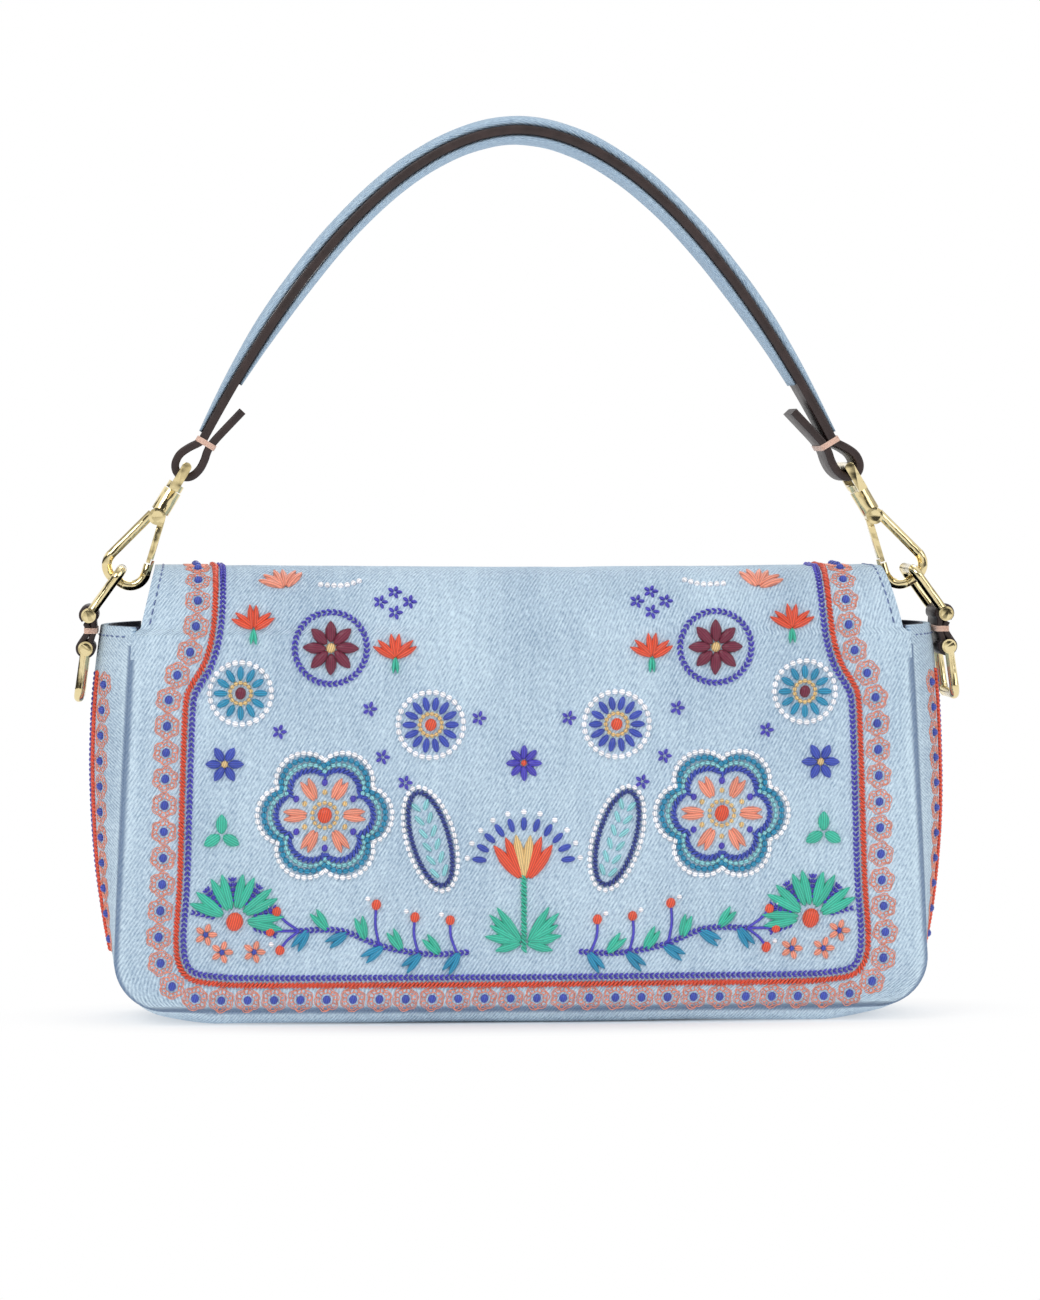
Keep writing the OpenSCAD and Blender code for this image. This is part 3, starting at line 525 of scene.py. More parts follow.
class Hoop:
    """Cloth held for stitching. Each surface(x, y, lift) point is in millimetres."""

    def __init__(self, surface):
        self.surface = surface
        self.work = bmesh.new()
        self.scratch = bpy.data.meshes.new("stitch")
        self.hand = random.Random(7)

    def add(self, bm, colour):
        dye = bm.verts.layers.float_color.new("dye")
        for vert in bm.verts:
            vert[dye] = colour
        bm.to_mesh(self.scratch)
        bm.free()
        self.work.from_mesh(self.scratch)

    def stitch(self, x, y, turn, length, width, height, colour, round_shape=(6, 4), point=0):
        """One raised stitch, half sunk in the cloth; point narrows its far end."""
        turn += self.hand.uniform(-0.07, 0.07)
        length *= self.hand.uniform(0.95, 1.06)
        light = self.hand.uniform(0.9, 1.06)
        root, spot = self.surface(x, y, 0), self.surface(x, y, height * 0.18)
        ahead = self.surface(*polar(x, y, 0.6, turn), 0)
        aside = self.surface(*polar(x, y, 0.6, turn + math.pi / 2), 0)
        long = (ahead - root).normalized()
        up = long.cross(aside - root).normalized()
        wide = up.cross(long)
        bm = bmesh.new()
        strand = bm.verts.layers.float_vector.new("strand")
        bmesh.ops.create_uvsphere(bm, u_segments=round_shape[0], v_segments=round_shape[1],
                                  radius=1, matrix=Matrix.Rotation(math.pi / 2, 4, "Y"))
        for vert in bm.verts:
            u, v, w = vert.co
            v *= 1 - point * max(0, u) ** 2 - point * 0.4 * max(0, -u) ** 2
            offset = (u * length / 2, v * width / 2, w * height)
            vert[strand] = Vector(offset) + Vector((x, y, 0)) * 3
            vert.co = (spot + long * offset[0] + wide * offset[1] + up * offset[2]) * MM
        self.add(bm, (*(c * light for c in colour[:3]), 1))

    def cord(self, points, radius, colour, closed=False):
        """A thin thread couched along a line of points."""
        n = len(points)
        rows = n if closed else n - 1
        spots = [self.surface(p.x, p.y, radius * 0.6) for p in points]
        bm = bmesh.new()
        strand = bm.verts.layers.float_vector.new("strand")
        bmesh.ops.create_grid(bm, x_segments=rows, y_segments=4, size=0.5)
        for vert in bm.verts:
            i = round((vert.co.x + 0.5) * rows) % n
            turn = math.tau * (vert.co.y + 0.5)
            after = spots[(i + 1) % n if closed else min(n - 1, i + 1)]
            before = spots[i - 1 if closed else max(0, i - 1)]
            p = points[i]
            up = (self.surface(p.x, p.y, 1) - self.surface(p.x, p.y, 0)).normalized()
            side = (after - before).normalized().cross(up)
            vert[strand] = Vector((i * 0.8, turn / 8, 0))
            vert.co = (spots[i] + (side * math.cos(turn) + up * math.sin(turn)) * radius) * MM
        self.add(sealed(bm), colour)

    def rope(self, points, colour, width=2.1, pitch=1.25, closed=False):
        """A line of short slanted stitches that overlap like the strands of a rope."""
        lean, height = 0.8, 0.95
        for spot, turn in spaced(points, pitch, closed):
            self.stitch(spot.x, spot.y, turn + lean, width * 1.3, pitch * 0.86, height, colour)

    def chain(self, points, colour, width=2.0, pitch=1.6, closed=False):
        """A line of small paired stitches, one leaning to each side."""
        for spot, turn in spaced(points, pitch, closed):
            for side in (-1, 1):
                beside_line = polar(*spot, side * width * 0.24, turn + math.pi / 2)
                self.stitch(*beside_line, turn + side * 0.5, pitch * 1.05, width * 0.44, 0.8,
                            colour)

    def bead(self, x, y, colour, size=1.8, turn=0.0):
        self.stitch(x, y, turn, size, size, size * 0.6, colour, (8, 5))

    def beads(self, points, colour, size=1.8, pitch=1.95, closed=False):
        for spot, turn in spaced(points, pitch, closed):
            self.bead(spot.x, spot.y, colour, size, turn)

    def dot(self, x, y, size, colour):
        self.stitch(x, y, 1.3, size * 1.1, size, 0.6 + size * 0.22, colour, (10, 6))

    def petals(self, x, y, count, inner, outer, width, colour, start=0.0, point=0.5):
        """Satin stitches that stand round a centre."""
        for turn in spokes(count):
            self.stitch(*polar(x, y, (inner + outer) / 2, start + turn), start + turn,
                        outer - inner, width, 0.5 + width * 0.22, colour, (10, 7), point)

    def leaf(self, x, y, turn, length, width, colour):
        """Two satin halves that meet along the leaf's vein, from its foot at x, y."""
        vein = polar(x, y, length / 2, turn)
        for side in (-1, 1):
            self.stitch(*polar(*vein, side * width * 0.2, turn + math.pi / 2),
                        turn + side * 0.12, length, width * 0.58, 1.15, colour, (10, 7), 0.6)

    def dot_flower(self, x, y, size=7.9):
        """A royal dot in scalloped rings of thin thread, none laid quite alike."""
        self.dot(x, y, size * 0.33, royal)
        for turn in spokes(13):
            self.stitch(*polar(x, y, size * 0.34, turn), turn, size * 0.2, 0.42, 0.25, salmon)
        for radius, wave in ((0.42, 0.09), (0.35, 0.10), (0.24, 0.05)):
            start, path = self.hand.uniform(0, 1), []
            for turn in spokes(30):
                reach = size * (radius + wave * abs(math.sin(3 * turn + start)))
                path.append(polar(x, y, reach + self.hand.uniform(-0.12, 0.12), turn))
            self.cord(path, 0.15, salmon, closed=True)

    def finish(self, name):
        bpy.data.meshes.remove(self.scratch)
        return finished(self.work, name, rayon_thread)


def mirrored(points):
    """The points given for the right half, run from the left end to the right one."""
    return [Vector((-x, y)) for x, y in points] + [Vector((x, y)) for x, y in points[::-1]][1:]


def six_petal_flower(hoop, x, y, radius):
    """A large flower: three outlines, seeds in each petal, and a rosette in the middle."""
    def outline(size):
        return [
            polar(x, y, size * (0.80 + 0.20 * abs(math.cos(3 * turn)) ** 0.7), turn)
            for turn in spokes(72)
        ]

    hoop.beads(outline(radius), white, closed=True)
    hoop.beads(outline(radius - 2.1), teal, 1.9, 1.9, closed=True)
    hoop.beads(outline(radius - 4.0), aqua, 1.6, 1.7, closed=True)
    hoop.rope(outline(radius - 5.9), royal, 2.1, 1.4, closed=True)
    for turn in spokes(6):
        hoop.leaf(*polar(x, y, 5.6, turn), turn, 7.2, 4.4, salmon)
        hoop.dot(*polar(x, y, 10.2, turn + 0.52), 2, violet)
        hoop.dot(*polar(x, y, 7.2, turn + 0.52), 1.6, sand)
    hoop.beads(ring_path(x, y, 3.9), sand, 1.4, 1.7, closed=True)
    hoop.dot(x, y, 4.6, coral)


def wheel(hoop, x, y, radius, count, rim, hub):
    """A small wheel of radial stitches inside a ring of white beads."""
    hoop.beads(ring_path(x, y, radius), white, 1.9, 2.2, closed=True)
    hoop.petals(x, y, count, radius * 0.42, radius * 0.87, 2.2, rim, point=0.1)
    hoop.beads(ring_path(x, y, radius * 0.34), sand, 1.4, 1.5, closed=True)
    hoop.dot(x, y, radius * 0.36, hub)


class Bed:
    """Half of a garden on a hoop, in X and height on the bag; side is -1 on the left."""

    def __init__(self, hoop, place, lift, side):
        self.hoop, self.place, self.lift, self.side = hoop, place, lift, side
        self.flip = 1 if place(1) > place(0) else -1

    def spot(self, x, z):
        return Vector((self.side * x, self.place(z + self.lift)))

    def turn(self, degrees):
        return self.flip * math.radians(degrees if self.side > 0 else 180 - degrees)

    def curve(self, points):
        return smooth_path([self.spot(x, z) for x, z in points], 5)

    def leaf(self, x, z, degrees, length, width, colour):
        self.hoop.leaf(*self.spot(x, z), self.turn(degrees), length, width, colour)


def tulip(bed):
    """Three petals on a stem, with seeds and beads round them and a flower above."""
    bed.hoop.rope([bed.spot(0, 23), bed.spot(0, 47)], mint, 2.2)
    for lean in (-0.5, 0, 0.5):
        bed.hoop.leaf(*bed.spot(math.sin(lean) * 2, 45 + math.cos(lean)),
                      bed.flip * (math.pi / 2 - lean), 13.5, 6.6, coral if lean else sand)
    seeds = 11
    for k in range(seeds):
        turn = math.pi * (k + 0.5) / seeds
        out, up = math.cos(turn), math.sin(turn)
        bed.hoop.stitch(*bed.spot(14 * out, 50 + 13 * up), bed.flip * turn, 4.6, 2.1, 1.0,
                        royal, (8, 5))
        bed.hoop.bead(*bed.spot(17.8 * out, 50 + 16.8 * up), white)
    bed.hoop.petals(*bed.spot(0, 82), 8, 1.0, 5.6, 2.3, violet, point=0.2)
    bed.hoop.dot(*bed.spot(0, 82), 1.8, coral)


def vine(bed):
    """Leaves at the tulip's foot, then a long stem with leaves and berries."""
    for degrees, size in ((20, 11), (50, 13), (-8, 8)):
        bed.leaf(1.2, 26, degrees, size, 5, mint)
    stem = bed.curve([(17, 23), (30, 22.5), (44, 25), (57, 30), (70, 30)])
    bed.hoop.chain(stem, violet, 2.0, 1.6)
    for i, (spot, run) in enumerate(spaced(stem, 6.2)):
        lean = (0.85 if i % 2 else -0.85) * bed.side * bed.flip
        bed.hoop.leaf(spot.x, spot.y, run + lean, 7.6, 3.9, mint if i % 2 else teal)
    for x, z, foot_x, foot_z in (
        (23, 33, 21, 23), (34, 34, 33, 23), (46, 38, 45, 25),
        (77, 36, 70, 30), (79, 30, 70, 30), (76, 24, 70, 30),
    ):
        middle = ((foot_x + x) / 2 + 0.8, (foot_z + z) / 2)
        bed.hoop.cord(bed.curve([(foot_x, foot_z), middle, (x, z)]), 0.45, violet)
        bed.hoop.dot(*bed.spot(x, z), 3.0, coral)
        bed.hoop.bead(*bed.spot(x + 2.7, z + 1.9), white, 1.6)


def feather_leaf(bed, x, z, degrees, size):
    """A leaf outlined in navy rope and white beads, filled with aqua feather stitch."""
    a = math.radians(degrees)

    def point(u, v):
        return bed.spot(x + u * math.cos(a) - v * math.sin(a),
                        z + u * math.sin(a) + v * math.cos(a))

    def outline(grow):
        reach = size / 2 + 5.5 * (grow - 1)
        return [
            point(size / 2 - reach * math.cos(turn), size * 0.19 * grow * math.sin(turn))
            for turn in spokes(48)
        ]

    bed.hoop.rope(outline(1.0), navy, 1.7, 1.35, closed=True)
    bed.hoop.beads(outline(1.32), white, 1.7, 2.0, closed=True)
    for k in range(1, 7):
        for v in (-1, 1):
            bed.hoop.stitch(*point(size * k / 7, v * 1.7), bed.turn(degrees + v * 32),
                            4.0, 1.7, 0.8, aqua, (8, 5))


def leaf_fan(bed, x, z):
    """A fan of leaves edged with violet in the lower corner, over three small flowers."""
    for degrees in (30, 68, 106, 144, 182):
        a = math.radians(degrees)
        bed.leaf(*polar(x, z, 3.8, a), degrees, 11.5, 5.8, mint)
        for edge in (a - 0.3, a + 0.3):
            line = [bed.spot(*polar(x, z, reach, edge)) for reach in (6, 14)]
            bed.hoop.chain(line, violet, 1.6, 1.5)
    bed.hoop.dot(*bed.spot(x, z), 5.4, coral)
    for x, z in ((84, 23.5), (94, 23.5), (99, 29)):
        bed.hoop.petals(*bed.spot(x, z), 5, 0.7, 3.6, 1.9, salmon, point=0.2)
        bed.hoop.dot(*bed.spot(x, z), 1.7, royal)


def upper_flowers(bed, top=138):
    """Star, sprigs and scattered seeds; only the back panel has room above the top line."""
    star = bed.spot(60, 118)
    bed.hoop.petals(*star, 8, 1.6, 8.6, 3.7, burgundy)
    bed.hoop.dot(*star, 3.0, sand)
    bed.hoop.chain(ring_path(*star, 11.2), violet, 2.0, 1.7, closed=True)
    bed.hoop.petals(*bed.spot(93, 82), 6, 1.0, 6.0, 2.9, royal)
    bed.hoop.dot(*bed.spot(93, 82), 2.2, sand)
    bed.hoop.petals(*bed.spot(94, 60), 3, 0.4, 6.4, 3.8, mint, start=bed.turn(90))
    for x, z in ((40, 129), (44.5, 132.5), (35.5, 132.5), (40, 136), (44, 84), (48, 99),
                 (76, 92), (14, 96), (37, 76)):
        if z + bed.lift <= top:
            bed.hoop.petals(*bed.spot(x, z), 5, 0.4, 2.4, 1.2, violet, point=0.1)
    for x, z in ((40, 115), (84, 124)):
        for degrees in (35, 90, 145):
            bed.leaf(x, z, degrees, 7.6, 3.8, coral)
        bed.leaf(x, z, -90, 5, 2.4, mint)
    if not bed.lift:
        for degrees in (30, 75, 120):
            bed.leaf(74, top, degrees, 9, 4.4, salmon)
        bed.hoop.beads(bed.curve([(50, 141), (56, 138.5), (64, 139)]), white)


def garden(hoop, place, lift=0.0):
    """The mirrored design inside the border; place(z) turns a height into the cloth's own."""
    tulip(Bed(hoop, place, lift, 1))
    for side in (-1, 1):
        bed = Bed(hoop, place, lift, side)
        vine(bed)
        six_petal_flower(hoop, *bed.spot(62, 66), 21)
        wheel(hoop, *bed.spot(29, 94), 10.2, 14, royal, coral)
        wheel(hoop, *bed.spot(88, 104), 9.6, 12, teal, burgundy)
        feather_leaf(bed, 25, 44, 74, 30)
        leaf_fan(bed, 90, 33)
        upper_flowers(bed)


def back_place(z):
    return z - back_seam_z


def flap_place(z):
    return flap_length + roll_start_z - z


def beside(path, distance):
    """The path moved sideways, to its left."""
    moved = []
    for i, p in enumerate(path):
        run = (path[min(i + 1, len(path) - 1)] - path[max(i - 1, 0)]).normalized()
        moved.append(p + Vector((-run.y, run.x)) * distance)
    return moved


def corded_lines(hoop, path, inwards):
    """A coral rope round three sides of a panel, with a violet chain inside it."""
    hoop.rope(path, coral)
    hoop.chain(beside(path, 2.3 * inwards), violet)


def flower_row(hoop, path, inwards, edge=0.0):
    """Dot flowers outside the rope; edge is the lowest place they may stand."""
    for spot, _ in spaced(beside(path, -5.4 * inwards), 8.15):
        hoop.dot_flower(spot.x, max(spot.y, edge))


def narrower(x, s, lift=0.0):
    """The flap's cloth, for the same garden drawn a little narrower."""
    return on_strip(x * 0.93, s, lift)


roof_middle = (roof_length + front_roll_length) / 2 + 14
back_path = smooth_path(mirrored(
    [(96.4, roof_middle), (96, roof_length + 10)] + [(x, back_place(z)) for x, z in (
        (95.6, 149), (95.7, 133), (96.7, 122), (99.2, 113.2), (102.9, 107), (104.8, 102),
        (105.6, 88), (106.2, 70), (107, 45), (108.2, 28), (107.2, 19.6), (103.6, 15.2),
        (96, 13.7), (84, 13.1), (40, 12.9), (0, 12.8),
    )]
), 5)
flap_path = smooth_path(mirrored(
    [(96.4, roof_middle + 1)] + [(x, flap_place(z)) for x, z in (
        (96.6, 132), (98, 117), (101, 106), (101.5, 87), (101.5, 48), (97.5, 35),
        (85, 29), (40, 28.4), (0, 28.4),
    )]
), 5)
for name, surface, draw in (
    ("corded_lines_back", on_strip, lambda hoop: corded_lines(hoop, back_path, 1)),
    ("flower_row_back", on_strip, lambda hoop: flower_row(hoop, back_path, 1, back_place(8.4))),
    ("garden_back", on_strip, lambda hoop: garden(hoop, back_place)),
    ("corded_lines_flap", on_strip, lambda hoop: corded_lines(hoop, flap_path, -1)),
    ("flower_row_flap", on_strip, lambda hoop: flower_row(hoop, flap_path, -1)),
    ("garden_flap", narrower, lambda hoop: garden(hoop, flap_place, lift=12)),
):
    hoop = Hoop(surface)
    draw(hoop)
    piece = hoop.finish(name)
    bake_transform(piece)


def on_side_cloth(q, d, lift=0.0):
    return on_side(q, d / side_width, lift)


def side_lane(depth, left, front):
    """A line down one side, at a distance from its back or front seam."""
    first, last, steps = 14.5, side_run - 2, 40
    d = side_width - depth if front else depth
    run = [first + (last - first) * i / steps for i in range(steps + 1)]
    return [Vector((2 * half_run - q if left else q, d)) for q in run]


embroidery = Hoop(on_side_cloth)
for left in (False, True):
    for front_edge in (False, True):
        embroidery.rope(side_lane(17.6, left, front_edge), coral)
        embroidery.chain(side_lane(19.9, left, front_edge), violet)
        for spot, _ in spaced(side_lane(12.2, left, front_edge), 8.15):
            embroidery.dot_flower(spot.x, spot.y)
side_work = embroidery.finish("embroidery_sides")
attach(side_work, "bag")


# Small blue running stitches hold the turned hems
def running_stitches(hoop, line):
    hem_blue = dyed(104, 126, 176)
    for spot, turn in spaced(line, 3.1):
        hoop.stitch(spot.x, spot.y, turn, 2.3, 0.6, 0.3, hem_blue)


embroidery = Hoop(on_side_cloth)
for q in (3.2, 2 * half_run - 3.2):
    running_stitches(embroidery, [Vector((q, 2.5)), Vector((q, side_width - 2.5))])
hem_work = embroidery.finish("hem_stitches_sides")
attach(hem_work, "bag")
embroidery = Hoop(on_strip)
hem_run = [roll_length + 2 + k * 2 for k in range(91)]
for side in (-1, 1):
    line = [Vector((side * (strip_half_width(s) - 2.6), s)) for s in hem_run]
    running_stitches(embroidery, line)
hem_work = embroidery.finish("hem_stitches_flap")
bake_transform(hem_work)


# ---- Linings ----
# Dark navy cotton glued inside every panel, the sides, the roof and the flap, each
# piece cut a little smaller than the denim that it lines.
def navy_cotton():
    material, shader, cloth = new_material(
        "navy lining", "ShaderNodeUVMap", "UV", Roughness=0.7, Sheen_Weight=0.2
    )
    thread = mottled(stretched(cloth, (2600, 2600, 1)), 1, 1)
    soft = mottled(cloth, 40, 3)
    shade = mixed(thread * 0.6 + soft * 0.5 - 0.1, dyed(22, 26, 46), dyed(44, 50, 80))
    connect(shader, Base_Color=shade, Normal=bumped(thread + soft * 2, 0.1 * MM, 0.5))
    return material


lining = navy_cotton()
lining_thickness = 0.8


def wall_lining(y, way, seed, length):
    """Cotton on the back or front wall; way is the direction of its u in X."""
    seam_gap = 2.2

    def place(u, v):
        s = seam_gap + v * (length - seam_gap)
        x = way * (2 * u - 1) * (strip_half_width(s) - 2.3)
        crumple = noise.noise(Vector((x / 22, s / 22, seed))) * 0.18
        return Vector((x, y + crumple, back_seam_z + s))

    return place


def side_lining_place(u, v):
    q = u * 2 * half_run
    in_base = min(q, 2 * half_run - q) > side_run + corner_run / 2
    return on_side(q, 0.02 + 0.96 * v, -4.9 if in_base else -3.2)


def under_strip(first, last):
    """A lining under the strip from one length to another."""
    half, turned_edge = 112.5, 2

    def place(u, v):
        s = first + (last - first) * v
        at_corner = s >= strip_length - flap_corner
        reach = min(half, strip_half_width(s) - turned_edge) if at_corner else half
        return on_strip((1 - 2 * u) * reach, s, 0.05 - panel_thickness - lining_thickness)

    return place


fold_length = front_roll_length + math.radians(12) * roll_radius
back_lining_place = wall_lining(back_seam_y + lining_thickness, -1, 1, roll_length)
front_lining_place = wall_lining(
    front_seam_y - lining_thickness, 1, 2, front_top_z - back_seam_z
)
for name, node, body, bm in (
    ("lining_back", "back_lining", "bag", cloth_grid(60, 40, 240, 114, back_lining_place)),
    ("lining_front", "front_lining", "bag", cloth_grid(60, 40, 240, 113, front_lining_place)),
    ("lining_sides", "side_lining", "bag",
     cloth_grid(240, 24, 2 * half_run, 52, side_lining_place)),
    ("lining_roof", "roof_lining", "bag",
     cloth_grid(60, 30, 225, 55, under_strip(roll_length, fold_length - 3))),
    ("lining_flap", "flap_lining", "flap",
     cloth_grid(60, 60, 225, 130, under_strip(fold_length, strip_length - 2))),
):
    if name == "lining_sides":
        bmesh.ops.reverse_faces(bm, faces=bm.faces[:])
    piece = thickened(finished(bm, name, lining), lining_thickness - 0.1, 0.2)
    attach(piece, body)
    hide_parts(node)


# ---- Base board and magnets ----
# A grey fibreboard lies in the base, and one pair of flat magnets closes the flap;
# both are covered by the lining on the real bag and show only when it is taken apart.
def pressed_board():
    material, shader, place = new_material("pressed board", Roughness=0.85)
    flecks = mottled(place, 900, 3, 0.7)
    connect(
        shader,
        Base_Color=mixed(flecks, dyed(120, 112, 104), dyed(178, 168, 154)),
        Normal=bumped(flecks, 0.1 * MM, 0.5),
    )
    return material


def nickel(name, dark, pale, roughness):
    material, shader, place = new_material(name, Metallic=1.0)
    brushed = mottled(stretched(place, (300, 2400, 2400)), 1, 2)
    connect(
        shader,
        Base_Color=mixed(brushed, dark, pale),
        Roughness=brushed * 0.15 + roughness,
        Normal=bumped(brushed, 0.01 * MM, 0.4),
    )
    return material


def covered(node, material):
    """Gives a CAD solid whose shape is right its real finish."""
    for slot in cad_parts[node].material_slots:
        slot.material = material


covered("base_board", pressed_board())
magnet_metal = nickel("nickelled magnet", dyed(150, 150, 155), dyed(205, 205, 208), 0.25)
covered("body_magnet", magnet_metal)
covered("flap_magnet", magnet_metal)
spring_steel = nickel("spring steel", dyed(140, 142, 148), dyed(215, 216, 220), 0.18)
covered("left_gate_spring", spring_steel)
covered("right_gate_spring", spring_steel)


# ---- Zip pocket ----
# A flat pocket of the lining cotton on the back wall, closed by a fine metal zip on
# a woven navy tape.
def solid_cotton(name, dark, pale, weave):
    """Plain woven cotton on a solid: threads over and under in both directions."""
    material, shader, place = new_material(name, Roughness=0.75, Sheen_Weight=0.2)
    along, up = (
        sine(place.node("ShaderNodeSeparateXYZ", {}, {"Vector": place}, axis)
             * (math.tau / weave))
        for axis in (0, 2)
    )
    tone = along * up * 0.25 + mottled(place, 60, 3) * 0.7 + 0.1
    connect(shader, Base_Color=mixed(tone, dark, pale), Normal=bumped(tone, 0.08 * MM, 0.6))
    return material


pocket_cotton = solid_cotton("pocket cotton", dyed(20, 24, 44), dyed(46, 52, 84), 0.8 * MM)
tape_cotton = solid_cotton("zip tape", dyed(14, 16, 30), dyed(38, 42, 66), 0.5 * MM)
covered("zip_pocket", pocket_cotton)
covered("zip_tape", tape_cotton)


# ---- Metal ----
# Links, pins, hooks, eyes and the zip's slider: cast and turned, polished, then
# plated in pale gold, with fine polishing lines and a little tarnish in the hollows.
def pale_gold():
    material, shader, place = new_material("pale gold plate", Metallic=1.0)
    tarnish = mottled(place, 180, 3)
    lines = mottled(stretched(place, (900, 900, 4000)), 1, 1)
    # The buffing wheel leaves flat faces a little crowned
    buffed = mottled(place, 260, 1)
    connect(
        shader,
        Base_Color=mixed(tarnish, dyed(244, 230, 186), dyed(222, 200, 144)),
        Roughness=tarnish * 0.08 + lines * 0.06 + 0.05,
        Normal=bumped(buffed + lines * 0.01, 0.45 * MM, 0.8),
    )
    return material


gold = pale_gold()


def recast(node, edge):
    """A smooth gold copy of a CAD solid, its sharp edges rounded, in place of the solid."""
    sharp = math.radians(35)
    bm = bmesh.new()
    bm.from_mesh(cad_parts[node].data)
    bmesh.ops.remove_doubles(bm, verts=bm.verts[:], dist=0.005 * MM)
    piece = finished(bm, node + "_finished", gold)
    piece.data.set_sharp_from_angle(angle=sharp)
    if edge:
        rounded = piece.modifiers.new("rounded edges", "BEVEL")
        rounded.width, rounded.segments, rounded.profile = edge * MM, 2, 0.5
        rounded.limit_method, rounded.angle_limit = "ANGLE", sharp
    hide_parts(node)
    return piece


metal_bodies = {}
for side in ("left", "right"):
    metal_bodies[side + "_upper_link"] = [side + "_upper_link", side + "_upper_pin"]
    metal_bodies[side + "_lower_link"] = [side + "_lower_link", side + "_lower_pin"]
    metal_bodies[side + "_hook"] = [side + "_hook_body", side + "_gate_pin"]
    metal_bodies[side + "_gate"] = [side + "_hook_gate"]
metal_bodies["strap"] = ["left_hook_eye", "right_hook_eye"]
metal_bodies["zip_slider"] = ["zip_slider"]
metal_bodies["zip_pull"] = ["zip_pull"]
metal_bodies["bag"] = ["zip_teeth"]
for body, nodes in metal_bodies.items():
    for node in nodes:
        piece = recast(node, 0 if node == "zip_teeth" else 0.15)
        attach(piece, body)


# ---- Strap ----
# A dark leather core with painted edges, folded round the eye at each end and bound
# with thread; a padded denim cover lies on its outer and its inner face.
# The right hook's gate pin, and how far the hook leans in towards the strap
hook_x, hook_z, hook_lean = 113.744, 158.401, math.radians(31)
strap_end_x, strap_end_z, strap_apex_z = 99.993, 181.287, 279.8
arch_power = 1.9
arch_scale = (strap_apex_z - strap_end_z) / strap_end_x**arch_power
core_thickness, strap_half = 2.8, 10


def arch(x, off=0.0):
    """A point of the strap's arch at an offset outwards, in X and Z."""
    z = strap_apex_z - arch_scale * abs(x) ** arch_power
    slope = -math.copysign(arch_scale * arch_power * abs(x) ** (arch_power - 1), x)
    long = math.hypot(slope, 1)
    return Vector((x - slope / long * off, 0, z + off / long))


def arch_x(v, half):
    return half * math.sin(math.pi / 2 * (2 * v - 1))


strap_denim = denim("strap denim", dyed(198, 221, 238), dyed(140, 168, 196))
pad_end, pad_taper = 0.9, 26


def cover_place(half, side, padding):
    """A pad on one face of the core: u runs over its dome first, then along its back."""
    domed = 0.7

    def place(u, v):
        x = arch_x(v, half)
        swell = math.sin(math.pi / 2 * min(1, (half - abs(x)) / pad_taper))
        thick = pad_end + (padding - pad_end) * swell
        if u < domed:
            w = 1 - 2 * u / domed
            edge = pad_end * 0.7
            top = edge + (thick - edge) * (1 - abs(w) ** 3.2) ** 0.5
            top += noise.noise(Vector((x / 9, w * 2, side))) * 0.12
        else:
            w = 2 * (u - domed) / (1 - domed) - 1
            top = 0.05
        spot = arch(x, side * (core_thickness / 2 + top))
        spot.y = w * strap_half
        return spot

    return place


for name, node, half, side, padding in (
    ("strap_cover_outer", "strap_outer_cover", 98.4, 1, 3.3),
    ("strap_cover_inner", "strap_inner_cover", 89.0, -1, 2.6),
):
    bm = sealed(cloth_grid(26, 150, 44, 270, cover_place(half, side, padding)))
    piece = finished(bm, name, strap_denim)
    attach(piece, "strap")
    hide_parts(node)


def brown_leather():
    material, shader, place = new_material("painted leather", Roughness=0.45)
    pores = place.node("ShaderNodeTexVoronoi", {}, {"Vector": place, "Scale": 2200})
    tone = mottled(place, 260, 4)
    connect(
        shader,
        Base_Color=mixed(tone, dyed(26, 18, 18), dyed(62, 44, 42)),
        Roughness=tone * 0.3 + 0.32,
        Normal=bumped(pores * 0.4 + tone, 0.12 * MM, 0.5),
    )
    return material


leather = brown_leather()


def leather_strip(name, path, thickness, wrapped=False):
    """Leather as wide as the strap, along a path; a wrapped one comes back to its start."""
    a, b, r = thickness / 2, strap_half, 0.45
    section = []
    for cx, cy, start in ((a, b, 0), (-a, b, 90), (-a, -b, 180), (a, -b, 270)):
        for turn in (start, start + 45, start + 90):
            t = math.radians(turn)
            section.append((
                cx - math.copysign(r, cx) + r * math.cos(t),
                cy - math.copysign(r, cy) + r * math.sin(t),
            ))
    section.append(section[0])
    n = len(path)

    def place(u, v):
        i = round(v * (n - 1))
        before = path[i - 1 if wrapped else max(0, i - 1)]
        after = path[(i + 1) % n if wrapped else min(n - 1, i + 1)]
        run = (after - before).normalized()
        out, across = section[round(u * (len(section) - 1))]
        return path[i] + Vector((run.z, 0, -run.x)) * out + Vector((0, across, 0))

    bm = sealed(cloth_grid(len(section) - 1, n - 1, 45, 2 * n, place), capped=not wrapped)
    piece = finished(bm, name, leather)
    piece.data.set_sharp_from_angle(angle=math.radians(50))
    return piece


def from_hook(out, up, side):
    """A point in the middle of the width, out from and up along one hook's own axis."""
    x = hook_x + out * math.cos(hook_lean) - up * math.sin(hook_lean)
    z = hook_z + out * math.sin(hook_lean) + up * math.cos(hook_lean)
    return Vector((side * x, 0, z))


core_path = [arch(arch_x(i / 150, strap_end_x)) for i in range(151)]
core = leather_strip("strap_core", core_path, core_thickness)
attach(core, "strap")
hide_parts("strap_core")
# Each end of the core goes on as a thinner strip, round the eye and back as the tail
fold = [
    (0.0, 28.5), (0.7, 26.6), (2.6, 23.6), (3.9, 20.4), (3.6, 17.2), (1.9, 15.2),
    (-0.6, 14.9), (-2.8, 16.4), (-3.8, 19.4), (-3.7, 22.6), (-3.1, 25.4), (-3.0, 27.5),
    (-3.4, 30.5), (-4.6, 36), (-6.0, 42.2),
]
for side, sign in (("left", -1), ("right", 1)):
    path = smooth_path([from_hook(o, u, sign) for o, u in fold], 5)
    piece = leather_strip("strap_fold_" + side, path, 2.5)
    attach(piece, "strap")


